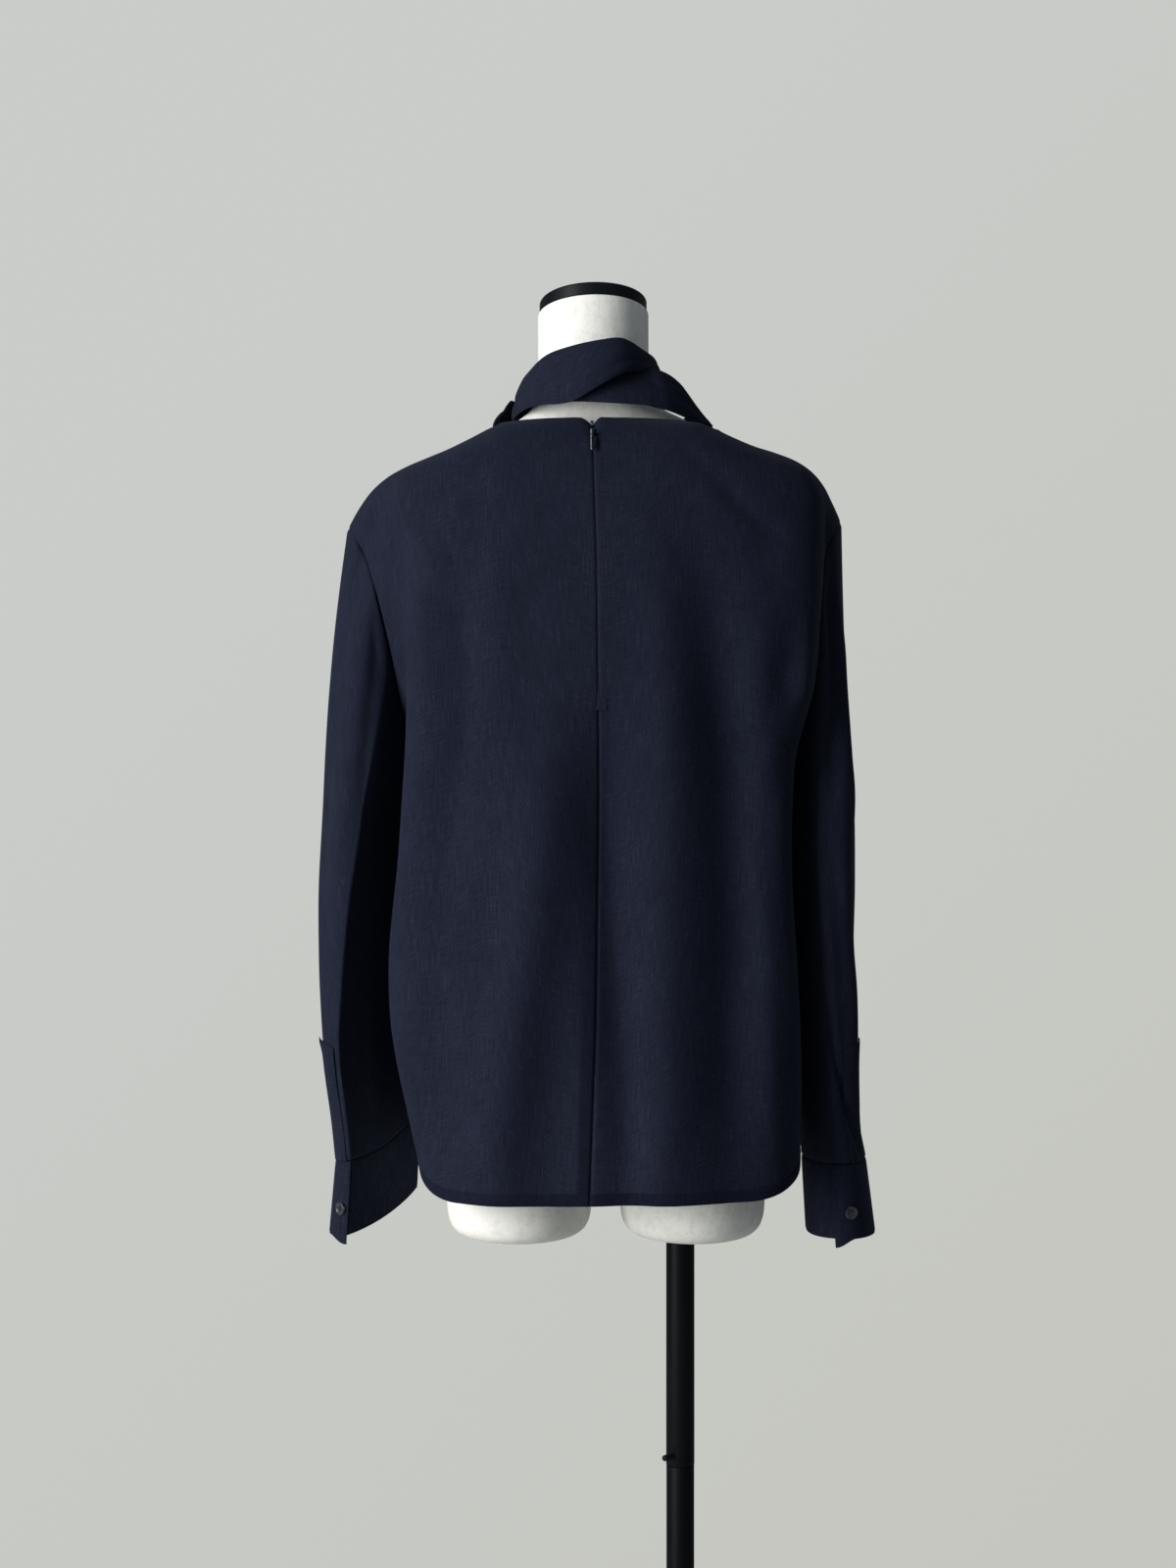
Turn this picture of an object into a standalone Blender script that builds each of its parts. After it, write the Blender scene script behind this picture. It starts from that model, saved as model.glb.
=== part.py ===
"""A tie-neck blouse on an armless dress form, seen from behind along +Y.

Lengths below are millimetres and are turned into metres as each mesh is made.
The blouse's back faces -Y, its front +Y, its right as seen from behind +X.
The origin is the centre of the base plate's underside, on the floor.
"""

import math

import bmesh
import bpy
import numpy as np
from mathutils import Matrix, Vector

MM = 0.001

# Cloth
WALL = 1.2  # one layer of cloth
BAND_WALL = 2.0  # the ties are two layers
CUFF_WALL = 1.6
SEAM_GAP = 0.7  # space that a seam leaves between two pieces, measured along the cloth
VALLEY_LIMIT = 0.75  # pieces whose normals agree less at a seam keep their own
LAY_GAP = 0.35  # space under a piece that lies on another

# Rows of the panels: one set of levels from the shoulder seam to the hem
SHOULDER_STEPS = 3  # rows that round over the shoulder, from the seam to the cap level
LEVEL_STEPS = 2  # rows from one level to the next below that
UNDERARM_ROW = SHOULDER_STEPS + 4 * LEVEL_STEPS

# Columns of half a panel, as fractions of the way from the centre line to the side roll
CENTRE_SPACING = (0.0, 0.035, 0.16, 0.30, 0.43, 0.56, 0.68, 0.79, 0.90, 1.0)
NECK_COLUMN = 4
ROLL_COLUMN = len(CENTRE_SPACING) - 1
SEAM_COLUMN = ROLL_COLUMN + 3
SECTION_SQUARENESS = 0.86  # below 1 makes the back flatter and its sides rounder

# Neckline
NECK_Z = 1459.5
NECK_POINT_X = {"left": 88.0, "right": 104.0}
NECK_POINT_Y = -12.0
BACK_NECK_Y = -72.0
FRONT_NECK_Y = 74.0
FRONT_NECK_DROP = 76.0
ZIP_NOTCH_DEPTH = 6.0

# The shoulder seam, from the neck point to the sleeve's top
SHOULDER_COLUMNS = ("left_x", "left_z", "right_x", "right_z")
SHOULDER_LINE = (
    (88.0, 1459.5, 104.0, 1459.5),
    (121.0, 1442.5, 134.0, 1445.0),
    (153.0, 1430.0, 164.0, 1435.5),
    (179.0, 1419.0, 187.0, 1424.0),
    (199.0, 1402.0, 204.0, 1407.0),
    (216.0, 1374.0, 217.5, 1379.0),
)

# The armhole and the side seam of each side: one row for each level, which are the shoulder tip,
# cap, blade, chest, scye, underarm, rib, waist, hip, tail and hem
SEAM_COLUMNS = ("x", "back_y", "front_y", "z")
SEAMS = {
    "left": (
        (216.0, 0.0, 0.0, 1374.0),
        (199.0, -34.0, 32.0, 1348.0),
        (188.0, -46.0, 46.0, 1316.0),
        (177.0, -44.0, 52.0, 1272.0),
        (168.0, -30.0, 38.0, 1220.0),
        (160.0, 0.0, 0.0, 1172.0),
        (157.0, 0.0, 0.0, 1086.0),
        (157.0, 0.0, 0.0, 1012.0),
        (156.0, 0.0, 0.0, 946.0),
        (150.0, 0.0, 0.0, 892.0),
        (142.0, 0.0, 0.0, 850.0),
    ),
    "right": (
        (217.5, 0.0, 0.0, 1379.0),
        (202.0, -36.0, 34.0, 1354.0),
        (195.0, -42.0, 48.0, 1320.0),
        (187.0, -40.0, 52.0, 1274.0),
        (175.0, -28.0, 38.0, 1222.0),
        (163.0, 0.0, 0.0, 1172.0),
        (161.0, 0.0, 0.0, 1086.0),
        (162.0, 0.0, 0.0, 1012.0),
        (166.0, 0.0, 0.0, 946.0),
        (168.0, 0.0, 0.0, 894.0),
        (168.0, 0.0, 0.0, 854.0),
    ),
}

# Sections of the panels, one for each level below the shoulder seam. The cloth runs from its
# centre line to a roll, where it turns forward, then through a groove to the seam.
# Columns: centre_z, centre_y, roll_x, roll_y, groove_x, groove_y
BACK_SECTIONS = {
    "left": (
        (1420.0, -100.0, 174.0, -62.0, 190.0, -48.0),
        (1372.0, -114.0, 163.0, -76.0, 176.0, -62.0),
        (1306.0, -121.0, 158.0, -82.0, 160.0, -58.0),
        (1238.0, -122.0, 158.0, -82.0, 155.0, -46.0),
        (1172.0, -121.0, 160.0, -78.0, 156.0, -36.0),
        (1086.0, -121.0, 166.5, -74.0, 159.0, -34.0),
        (1012.0, -123.0, 174.0, -70.0, 163.0, -32.0),
        (942.0, -127.0, 172.5, -66.0, 163.0, -30.0),
        (872.0, -130.0, 160.5, -62.0, 153.0, -30.0),
        (803.0, -131.0, 147.0, -58.0, 144.0, -30.0),
    ),
    "right": (
        (1420.0, -100.0, 196.0, -60.0, 197.0, -48.0),
        (1372.0, -114.0, 195.0, -68.0, 191.0, -54.0),
        (1306.0, -121.0, 191.0, -72.0, 184.0, -52.0),
        (1238.0, -122.0, 185.0, -74.0, 175.0, -46.0),
        (1172.0, -121.0, 170.0, -74.0, 163.0, -36.0),
        (1086.0, -121.0, 167.0, -74.0, 163.0, -36.0),
        (1012.0, -123.0, 171.0, -72.0, 165.0, -34.0),
        (942.0, -127.0, 175.0, -68.0, 169.0, -32.0),
        (872.0, -130.0, 177.0, -62.0, 172.0, -30.0),
        (803.0, -131.0, 177.0, -54.0, 173.0, -28.0),
    ),
}
FRONT_SECTIONS = {
    "left": (
        (1362.0, 84.0, 172.0, 52.0, 190.0, 42.0),
        (1326.0, 104.0, 166.0, 66.0, 178.0, 58.0),
        (1282.0, 120.0, 162.0, 74.0, 168.0, 60.0),
        (1230.0, 124.0, 160.0, 76.0, 160.0, 52.0),
        (1172.0, 120.0, 160.0, 72.0, 158.0, 36.0),
        (1086.0, 116.0, 163.0, 68.0, 161.0, 32.0),
        (1012.0, 116.0, 167.0, 66.0, 163.0, 32.0),
        (942.0, 118.0, 168.0, 64.0, 162.0, 30.0),
        (872.0, 121.0, 160.0, 62.0, 154.0, 30.0),
        (812.0, 122.0, 150.0, 58.0, 145.0, 30.0),
    ),
    "right": (
        (1362.0, 84.0, 180.0, 54.0, 194.0, 42.0),
        (1326.0, 104.0, 174.0, 68.0, 182.0, 58.0),
        (1282.0, 120.0, 168.0, 76.0, 172.0, 60.0),
        (1230.0, 124.0, 164.0, 76.0, 165.0, 52.0),
        (1172.0, 120.0, 163.0, 72.0, 161.0, 36.0),
        (1086.0, 116.0, 166.0, 68.0, 164.0, 32.0),
        (1012.0, 116.0, 169.0, 66.0, 165.0, 32.0),
        (942.0, 118.0, 172.0, 64.0, 167.0, 30.0),
        (872.0, 121.0, 173.0, 62.0, 170.0, 30.0),
        (812.0, 122.0, 172.0, 56.0, 170.0, 28.0),
    ),
}
HEM_RISE_START = 0.48  # where along the half section the hem starts to rise
HEM_RISE_END = 1.0

# The centre back seam wanders a little from the centre plane
CENTRE_BACK_LINE = ((1461.0, -1.5), (1330.0, 2.5), (1150.0, 4.5), (950.0, 2.0), (804.0, -3.5))

# The largest folds of the back, as troughs across the cloth
# Columns: side, top_x, top_z, foot_x, foot_z, half_width, top_depth, foot_depth
BACK_FOLDS = (
    ("right", 147.0, 1356.0, 163.0, 1190.0, 11.0, 2.0, 9.0),
    ("left", 188.0, 1396.0, 158.0, 1322.0, 10.0, 2.0, 6.0),
)

# Sleeves below the armhole, as rings; a ring's inner side stands higher by its lift
# Columns: z, out_x, in_x, back_y, front_y, lift
SLEEVES = {
    "left": (
        (1130.0, 236.5, 164.5, -60.0, 66.0, 0.0),
        (1062.0, 239.5, 165.0, -61.0, 65.0, 0.0),
        (1000.0, 238.5, 165.5, -59.0, 62.0, 0.0),
        (931.0, 235.5, 164.5, -54.0, 57.0, 5.0),
        (895.0, 233.0, 161.0, -49.0, 53.0, 13.0),
        (860.0, 229.0, 157.0, -43.0, 47.0, 23.0),
        (824.0, 225.5, 154.0, -38.0, 42.0, 33.0),
    ),
    "right": (
        (1130.0, 228.0, 168.5, -60.0, 66.0, 0.0),
        (1062.0, 228.5, 169.0, -61.0, 66.0, 0.0),
        (1000.0, 227.0, 172.0, -61.0, 65.0, 0.0),
        (931.0, 228.0, 178.0, -59.0, 64.0, 0.0),
        (895.0, 229.0, 180.5, -56.0, 61.0, 0.0),
        (860.0, 231.5, 181.0, -51.0, 56.0, 0.0),
        (824.0, 238.5, 182.5, -46.0, 50.0, 0.0),
    ),
}
LIFT_CURVE = 2.3
SLEEVE_HEAD_STEPS = 5  # rings from the armhole to the first ring of the table
SLEEVE_HEAD_BULGE = {"left": 3.0, "right": -2.5}
ARMHOLE_INSET = 1.0  # how far below the armhole seam a sleeve starts
PLACKET_FIRST = {"left": 1, "right": 2}  # sleeve ribs that carry the placket
PLACKET_RIBS = 2
PLACKET_TOP_RING = 3  # ring of the table at which the placket starts
PLACKET_POINT = 8.0  # how far its outer corner stands above its inner one

# Cuffs
CUFF_TOP = 823.1
CUFF_DEPTH = 64.0
CUFF_FLARE = {"left": (5.0, 2.0), "right": (7.5, 3.0)}  # growth of the outer and inner side
CUFF_END = {"left": 56.0, "right": 106.0}  # degrees from the outer side to the lapped end
CUFF_LAP = 40.0  # degrees that the ends lap
CUFF_SEGMENTS = 26
CUFF_POINT = 7.5  # how far the lapped end hangs below the rest
BUTTON_RADIUS = 5.6
BUTTON_THICKNESS = 2.2
BUTTON_FROM_END = {"left": 13.0, "right": 30.0}  # degrees from the lapped end
BUTTON_Z = 782.0

# Ties, as bands round the neck: the low edge, its height and how far the top leans to the neck
# Columns: x, y, low_z, high_z, lean
TIE_OUTER = (
    (-12.0, 72.0, 1436.0, 1458.0, 3.0),
    (-33.0, 58.0, 1449.0, 1474.0, 4.0),
    (-52.0, 32.0, 1464.0, 1490.0, 4.0),
    (-66.0, 0.0, 1473.0, 1501.0, 4.0),
    (-61.5, -36.0, 1472.0, 1509.0, 8.0),
    (-46.0, -66.0, 1471.5, 1517.0, 11.0),
    (-20.0, -84.0, 1471.5, 1522.0, 13.0),
    (6.0, -88.0, 1485.5, 1526.0, 13.0),
    (28.0, -80.0, 1497.0, 1528.5, 11.0),
    (46.0, -58.0, 1501.6, 1523.0, 8.0),
    (56.5, -22.0, 1508.0, 1518.5, 4.0),
    (57.0, 12.0, 1492.0, 1506.0, 4.0),
    (46.0, 44.0, 1466.0, 1486.0, 4.0),
    (14.0, 72.0, 1436.0, 1458.0, 3.0),
)
TIE_INNER = (
    (102.0, -13.5, 1460.6, 1464.0, 2.0),
    (97.0, -30.0, 1460.6, 1475.0, 8.0),
    (84.0, -50.0, 1461.5, 1496.0, 13.0),
    (66.0, -66.0, 1466.0, 1501.5, 13.0),
    (54.0, -72.5, 1468.0, 1500.0, 16.0),
    (42.0, -77.0, 1470.0, 1504.0, 18.5),
    (14.0, -81.5, 1471.0, 1506.0, 15.0),
    (-14.0, -78.5, 1472.5, 1504.0, 11.0),
    (-38.0, -64.0, 1473.5, 1503.0, 9.0),
    (-53.0, -42.0, 1474.0, 1499.0, 6.0),
)
BAND_BULGE = 3.0
BAND_STATIONS = 2  # stations from one row of a band's table to the next

# The front band stands on the front neckline: one row for each of its points on the left,
# from the centre to the neck point, and the same on the right
FRONT_BAND_COLUMNS = ("left_height", "left_lean", "right_height", "right_lean")
FRONT_BAND = (
    (42.0, 6.0, 42.0, 6.0),
    (42.0, 6.0, 42.0, 6.0),
    (44.0, 8.0, 44.0, 9.0),
    (58.0, 8.0, 42.0, 14.0),
    (15.0, 9.0, 13.0, 12.0),
)
KNOT_CENTRE = (1.0, 82.0, 1442.0)
KNOT_RADII = (19.0, 10.0, 17.0)

# The hanging ends. Columns: z, centre_x, width
TAILS = {
    "left": (
        (1425.0, -11.0, 17.0),
        (1390.0, -24.0, 42.0),
        (1300.0, -38.0, 56.0),
        (1200.0, -46.0, 60.0),
        (1098.0, -50.0, 62.0),
    ),
    "right": (
        (1425.0, 13.0, 17.0),
        (1390.0, 25.0, 42.0),
        (1300.0, 36.0, 56.0),
        (1180.0, 41.0, 60.0),
        (1058.0, 43.0, 62.0),
    ),
}
TAIL_CLEARANCE = 4.0
TAIL_STEPS = 10
TAIL_REST_Z = 1370.0  # below this the tails lie on the front

# Zip
ZIP_TOP = 1456.0
ZIP_LENGTH = 245.0
ZIP_STEPS = 14
ZIP_TAPE_WALL = 1.0
SLIDER_TOP = 1449.0
SLIDER_LENGTH = 11.0
SLIDER_WIDTH = 4.4
SLIDER_THICKNESS = 2.4
SLIDER_CLEARANCE = 1.5
SLIDER_BAR_RADIUS = 0.6
SLIDER_BAR_RISE = 1.9  # from the slider's back to the middle of its bar
SLIDER_BAR_UP = 1.5  # from the slider's lower end to the middle of its bar
PULL_LENGTH = 18.5
PULL_WIDTH = 5.6
PULL_THICKNESS = 1.0
PULL_HANG = math.radians(30.0)  # from the vertical, where the tab rests on the cloth

# Dress form: sections with their widest line at side_y; a fade over 1 flattens their front's sides
FORM_COLUMNS = ("z", "centre_x", "half_width", "side_y", "back_y", "front_y", "fade")
FORM_SECTIONS = (
    (838.0, 10.0, 70.0, 0.0, -50.0, 44.0, 1.0),
    (846.0, 10.0, 112.0, 0.0, -84.0, 70.0, 1.0),
    (862.0, 10.0, 134.0, 0.0, -100.0, 84.0, 1.0),
    (900.0, 8.0, 139.0, 0.0, -110.0, 90.0, 1.0),
    (950.0, 6.0, 136.0, 0.0, -106.0, 90.0, 1.0),
    (1010.0, 4.0, 122.0, 0.0, -92.0, 82.0, 1.0),
    (1070.0, 3.0, 114.0, 0.0, -82.0, 78.0, 1.0),
    (1150.0, 2.0, 127.0, 0.0, -92.0, 90.0, 1.0),
    (1220.0, 2.0, 144.0, 0.0, -104.0, 102.0, 1.0),
    (1280.0, 2.0, 154.0, 0.0, -108.0, 100.0, 1.0),
    (1340.0, 3.0, 163.0, 0.0, -105.0, 84.0, 1.1),
    (1385.0, 4.0, 168.0, 0.0, -96.0, 58.0, 1.5),
    (1411.0, 5.0, 162.0, -2.0, -86.0, 51.0, 2.0),
    (1426.0, 6.0, 151.0, -4.0, -79.0, 44.0, 2.3),
    (1439.0, 6.0, 130.0, -8.0, -71.0, 38.0, 2.3),
    (1454.0, 4.5, 90.0, -11.0, -62.0, 36.0, 2.3),
    (1466.0, 2.5, 68.0, -6.0, -57.0, 41.0, 1.4),
    (1480.0, 1.0, 54.0, 0.0, -53.0, 46.0, 1.0),
    (1500.0, 0.0, 48.5, 0.0, -50.0, 48.0, 1.0),
    (1530.0, -0.5, 48.5, 0.0, -49.0, 49.0, 1.0),
)
FORM_SEGMENTS = 32
NECK_TOP_Z = 1561.2
NECK_TILT = math.radians(9.5)  # the neck's top leans to the front
NECK_ROLL = math.radians(1.2)
NECK_RADII = (48.5, 50.0)
CAP_RADII = (47.0, 49.0)
CAP_HEIGHT = 11.0

# The thigh stubs' rings. Columns: z, scale
THIGH_SECTIONS = (
    (757.0, 0.55),
    (759.0, 0.78),
    (765.0, 0.92),
    (777.0, 0.985),
    (801.0, 1.0),
    (850.0, 1.0),
    (900.0, 0.9),
)
THIGH_CENTRE_X = {"left": -65.0, "right": 86.0}
THIGH_CENTRE_Y = -8.0
THIGH_RADII = (63.5, 74.0)
THIGH_SEGMENTS = 28

# Stand
POLE_X = 76.0
POLE_Y = 0.0
POLE_RADIUS = 12.4
LOWER_POLE_RADIUS = 12.2
POLE_SIDES = 32
BUTT_Z = 553.0  # where the two lengths of the pole meet at the lowest height
RUN_GAP = 0.3
ROD_RADIUS = 10.0
ROD_TOP = 745.0
POLE_BORE_RADIUS = 10.4
POLE_BORE_TOP = 800.0
POLE_TOP = 822.0
SCREW_RADIUS = 2.6
SCREW_Z = 563.5
SCREW_REACH = 24.0  # from the pole's axis to the screw's outer end
SCREW_ANGLE = math.radians(232.0)  # points to the left and to the back
BASE_RADIUS = 165.0
BASE_THICKNESS = 8.0
COLLAR_RADIUS = 20.0
COLLAR_HEIGHT = 18.0
EDGE_ROUND = 2.0

NAVY = (0.012, 0.017, 0.035)
WHITE_JERSEY = (0.78, 0.77, 0.73)
BLACK = (0.01, 0.01, 0.011)
DARK_METAL = (0.05, 0.06, 0.08)


# ---------------------------------------------------------------- helpers


def clear_scene():
    for obj in list(bpy.data.objects):
        bpy.data.objects.remove(obj, do_unlink=True)


def material(name, colour, roughness, metallic=0.0):
    made = bpy.data.materials.new(name)
    made.use_nodes = True
    shader = made.node_tree.nodes["Principled BSDF"]
    shader.inputs["Base Color"].default_value = (*colour, 1.0)
    shader.inputs["Roughness"].default_value = roughness
    shader.inputs["Metallic"].default_value = metallic
    return made


def add_object(name, points, faces, colour, roughness=0.6, metallic=0.0, origin=(0.0, 0.0, 0.0)):
    """A mesh object from points in millimetres, with its origin in millimetres."""
    shift = np.asarray(origin, float)
    mesh = bpy.data.meshes.new(name)
    mesh.from_pydata([tuple((np.asarray(p) - shift) * MM) for p in points], [], [tuple(f) for f in faces])
    mesh.update()
    obj = bpy.data.objects.new(name, mesh)
    obj.location = shift * MM
    bpy.context.scene.collection.objects.link(obj)
    mesh.materials.append(material(name, colour, roughness, metallic))
    return obj


def smooth(obj, angle=40.0):
    obj.data.shade_smooth()
    obj.data.set_sharp_from_angle(angle=math.radians(angle))


def table(rows, columns):
    """The columns of a table as arrays, by name."""
    values = np.array(rows, float)
    return {name: values[:, i] for i, name in enumerate(columns)}


def through(points, steps):
    """Points on a smooth curve through the given ones, with the given steps from each to the next."""
    known = np.asarray(points, float)
    ends = np.vstack([2 * known[0] - known[1], known, 2 * known[-1] - known[-2]])
    made = []
    for i in range(len(known) - 1):
        before, start, end, after = ends[i : i + 4]
        for k in range(steps):
            t = k / steps
            made.append(
                0.5
                * (
                    2 * start
                    + (end - before) * t
                    + (2 * before - 5 * start + 4 * end - after) * t**2
                    + (3 * start - before - 3 * end + after) * t**3
                )
            )
    made.append(known[-1])
    return np.array(made)


def at_fractions(points, fractions):
    """Points at fractions of a polyline's length."""
    path = np.asarray(points, float)
    run = np.concatenate([[0.0], np.cumsum(np.linalg.norm(np.diff(path, axis=0), axis=1))])
    want = np.asarray(fractions) * run[-1]
    return np.stack([np.interp(want, run, path[:, k]) for k in range(path.shape[1])], axis=1)


def unit(vectors):
    length = np.linalg.norm(vectors, axis=-1, keepdims=True)
    return vectors / np.where(length > 0, length, 1.0)


def grid_normals(grid, wraps=False):
    """Unit normals at the points of a grid, along (across x down)."""
    if wraps:
        across = np.roll(grid, -1, axis=1) - np.roll(grid, 1, axis=1)
    else:
        across = np.gradient(grid, axis=1)
    down = np.gradient(grid, axis=0)
    return unit(np.cross(across, down))


def smoothstep(value):
    t = np.clip(value, 0.0, 1.0)
    return t * t * (3 - 2 * t)


def two_sided(outer, inner, wraps=False, flip=False):
    """A closed body between two grids of points: the faces of both, and the edges between them."""
    rows, columns = outer.shape[:2]
    points = np.concatenate([outer.reshape(-1, 3), inner.reshape(-1, 3)])
    offset = rows * columns

    def at(i, j):
        return i * columns + j % columns

    faces = []
    for i in range(rows - 1):
        for j in range(columns if wraps else columns - 1):
            a, b, c, d = at(i, j), at(i, j + 1), at(i + 1, j + 1), at(i + 1, j)
            faces += [(a, c, b), (a, d, c)]
            faces += [(offset + a, offset + b, offset + c), (offset + a, offset + c, offset + d)]
    edges = [[at(0, j) for j in range(columns + (1 if wraps else 0))]]
    edges.append([at(rows - 1, j) for j in range(columns + (1 if wraps else 0))][::-1])
    if not wraps:
        edges.append([at(i, 0) for i in range(rows)][::-1])
        edges.append([at(i, columns - 1) for i in range(rows)])
    for edge in edges:
        for a, b in zip(edge, edge[1:]):
            faces += [(a, b, offset + b), (a, offset + b, offset + a)]
    if flip:
        faces = [face[::-1] for face in faces]
    return points, faces


def volume(points, faces):
    p = np.asarray(points)
    f = np.asarray(faces)
    return float(np.einsum("ij,ij->i", p[f[:, 0]], np.cross(p[f[:, 1]], p[f[:, 2]])).sum() / 6)


def add_shell(name, outer, inner, colour, wraps=False, roughness=0.6):
    points, faces = two_sided(outer, inner, wraps)
    if volume(points, faces) < 0:
        faces = [face[::-1] for face in faces]
    obj = add_object(name, points, faces, colour, roughness)
    smooth(obj, 50.0)
    return obj


def rings_to_solid(rings):
    """A closed body through rings of equally many points, closed by a fan at each end."""
    count = len(rings[0])
    points = [p for ring in rings for p in ring]
    faces = []
    for i in range(len(rings) - 1):
        for j in range(count):
            a = i * count + j
            b = i * count + (j + 1) % count
            faces += [(a, b, b + count), (a, b + count, a + count)]
    for ring_index, turn in ((0, -1), (len(rings) - 1, 1)):
        centre = len(points)
        points.append(np.mean(np.asarray(rings[ring_index]), axis=0))
        for j in range(count):
            a = ring_index * count + j
            b = ring_index * count + (j + 1) % count
            faces.append((a, b, centre)[::turn])
    if volume(points, faces) < 0:
        faces = [face[::-1] for face in faces]
    return points, faces


def ellipse(centre_x, half_width, side_y, back_y, front_y, z, segments, fade=1.0):
    """A ring at one height, through its widest line and the middles of its back and its front."""
    ring = []
    for j in range(segments):
        turn = 2 * math.pi * j / segments
        if math.cos(turn) > 0:
            y = side_y + (front_y - side_y) * math.cos(turn) ** fade
        else:
            y = side_y - (back_y - side_y) * math.cos(turn)
        ring.append((centre_x + half_width * math.sin(turn), y, z))
    return ring


def turned_solid(profile, sides, centre, colour, name, roughness=0.35, metallic=0.0):
    """A round body about +Z from (radius, z) rows; a profile that starts and ends on the axis is closed."""
    rings = []
    for radius, z in profile:
        turn = [2 * math.pi * j / sides for j in range(sides)]
        rings.append([(centre[0] + radius * math.cos(t), centre[1] + radius * math.sin(t), z) for t in turn])
    points, faces = rings_to_solid(rings)
    obj = add_object(name, points, faces, colour, roughness, metallic)
    smooth(obj, 30.0)
    return obj


def cutter(name, radius, low, high, centre, direction=(0.0, 0.0, 1.0), sides=POLE_SIDES):
    mesh = bpy.data.meshes.new(name)
    shape = bmesh.new()
    wide = radius * MM
    long = (high - low) * MM
    bmesh.ops.create_cone(shape, cap_ends=True, segments=sides, radius1=wide, radius2=wide, depth=long)
    turn = Vector((0.0, 0.0, 1.0)).rotation_difference(Vector(direction)).to_matrix().to_4x4()
    middle = Vector(centre) * MM + Vector(direction).normalized() * (low + high) / 2 * MM
    bmesh.ops.transform(shape, matrix=Matrix.Translation(middle) @ turn, verts=shape.verts)
    shape.to_mesh(mesh)
    shape.free()
    obj = bpy.data.objects.new(name, mesh)
    obj.hide_render = True
    obj.display_type = "WIRE"
    bpy.context.scene.collection.objects.link(obj)
    return obj


def boolean(obj, other, operation):
    change = obj.modifiers.new(operation.lower() + "_" + other.name, "BOOLEAN")
    change.operation = operation
    change.object = other
    change.solver = "EXACT"


# ---------------------------------------------------------------- cloth surfaces


def shoulder_line(side):
    """Points of the shoulder seam from the neck point out, one for each column."""
    line = table(SHOULDER_LINE, SHOULDER_COLUMNS)
    dense = through(np.stack([line[side + "_x"], line[side + "_z"]], axis=1), 6)
    count = SEAM_COLUMN - NECK_COLUMN
    flat = at_fractions(dense, [k / count for k in range(count + 1)])
    share = np.linspace(0.0, 1.0, count + 1)
    y = NECK_POINT_Y * (1 - smoothstep(share * 1.4))
    return np.stack([flat[:, 0], y, flat[:, 1]], axis=1)


def neckline(side, front):
    """Points of half a neckline, from the centre line to just before the neck point."""
    end_x = NECK_POINT_X[side]
    depth = FRONT_NECK_Y if front else BACK_NECK_Y
    drop = FRONT_NECK_DROP if front else 0.0
    points = []
    for share in (0.0, 0.065, 0.33, 0.68):
        turn = share * math.pi / 2
        x = end_x * math.sin(turn)
        y = NECK_POINT_Y + (depth - NECK_POINT_Y) * math.cos(turn) ** 0.9
        z = NECK_Z + 1.0 - drop * math.cos(turn) ** 1.25
        if not front and share < 0.05:
            z -= ZIP_NOTCH_DEPTH
        points.append((x, y, z))
    return np.array(points)


def section(row, seam_x, seam_y):
    """The x and y of one level's half section, one for each column."""
    centre_z, centre_y, roll_x, roll_y, groove_x, groove_y = row
    turns = np.linspace(0.0, math.pi / 2, 40)
    x = roll_x * np.sin(turns) ** SECTION_SQUARENESS
    y = roll_y + (centre_y - roll_y) * np.cos(turns) ** SECTION_SQUARENESS
    inward = at_fractions(np.stack([x, y], axis=1), CENTRE_SPACING)
    before = inward[-2]
    path = through([before, (roll_x, roll_y), (groove_x, groove_y), (seam_x, seam_y)], 8)[8:]
    outward = at_fractions(path, [1 / 3, 2 / 3, 1.0])
    return np.vstack([inward, outward])


def fold_depth(side, x, z):
    """How far the back's large folds push the cloth in at a place."""
    depth = 0.0
    for fold in BACK_FOLDS:
        if fold[0] != side:
            continue
        _, top_x, top_z, foot_x, foot_z, half_width, top_depth, foot_depth = fold
        along = (top_z - z) / (top_z - foot_z)
        middle = top_x + (foot_x - top_x) * along
        reach = smoothstep((along + 0.25) / 0.25) * smoothstep((1.2 - along) / 0.2)
        strength = top_depth + (foot_depth - top_depth) * np.clip(along, 0.0, 1.0)
        depth = depth + strength * reach * np.exp(-(((x - middle) / half_width) ** 2))
    return depth


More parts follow.
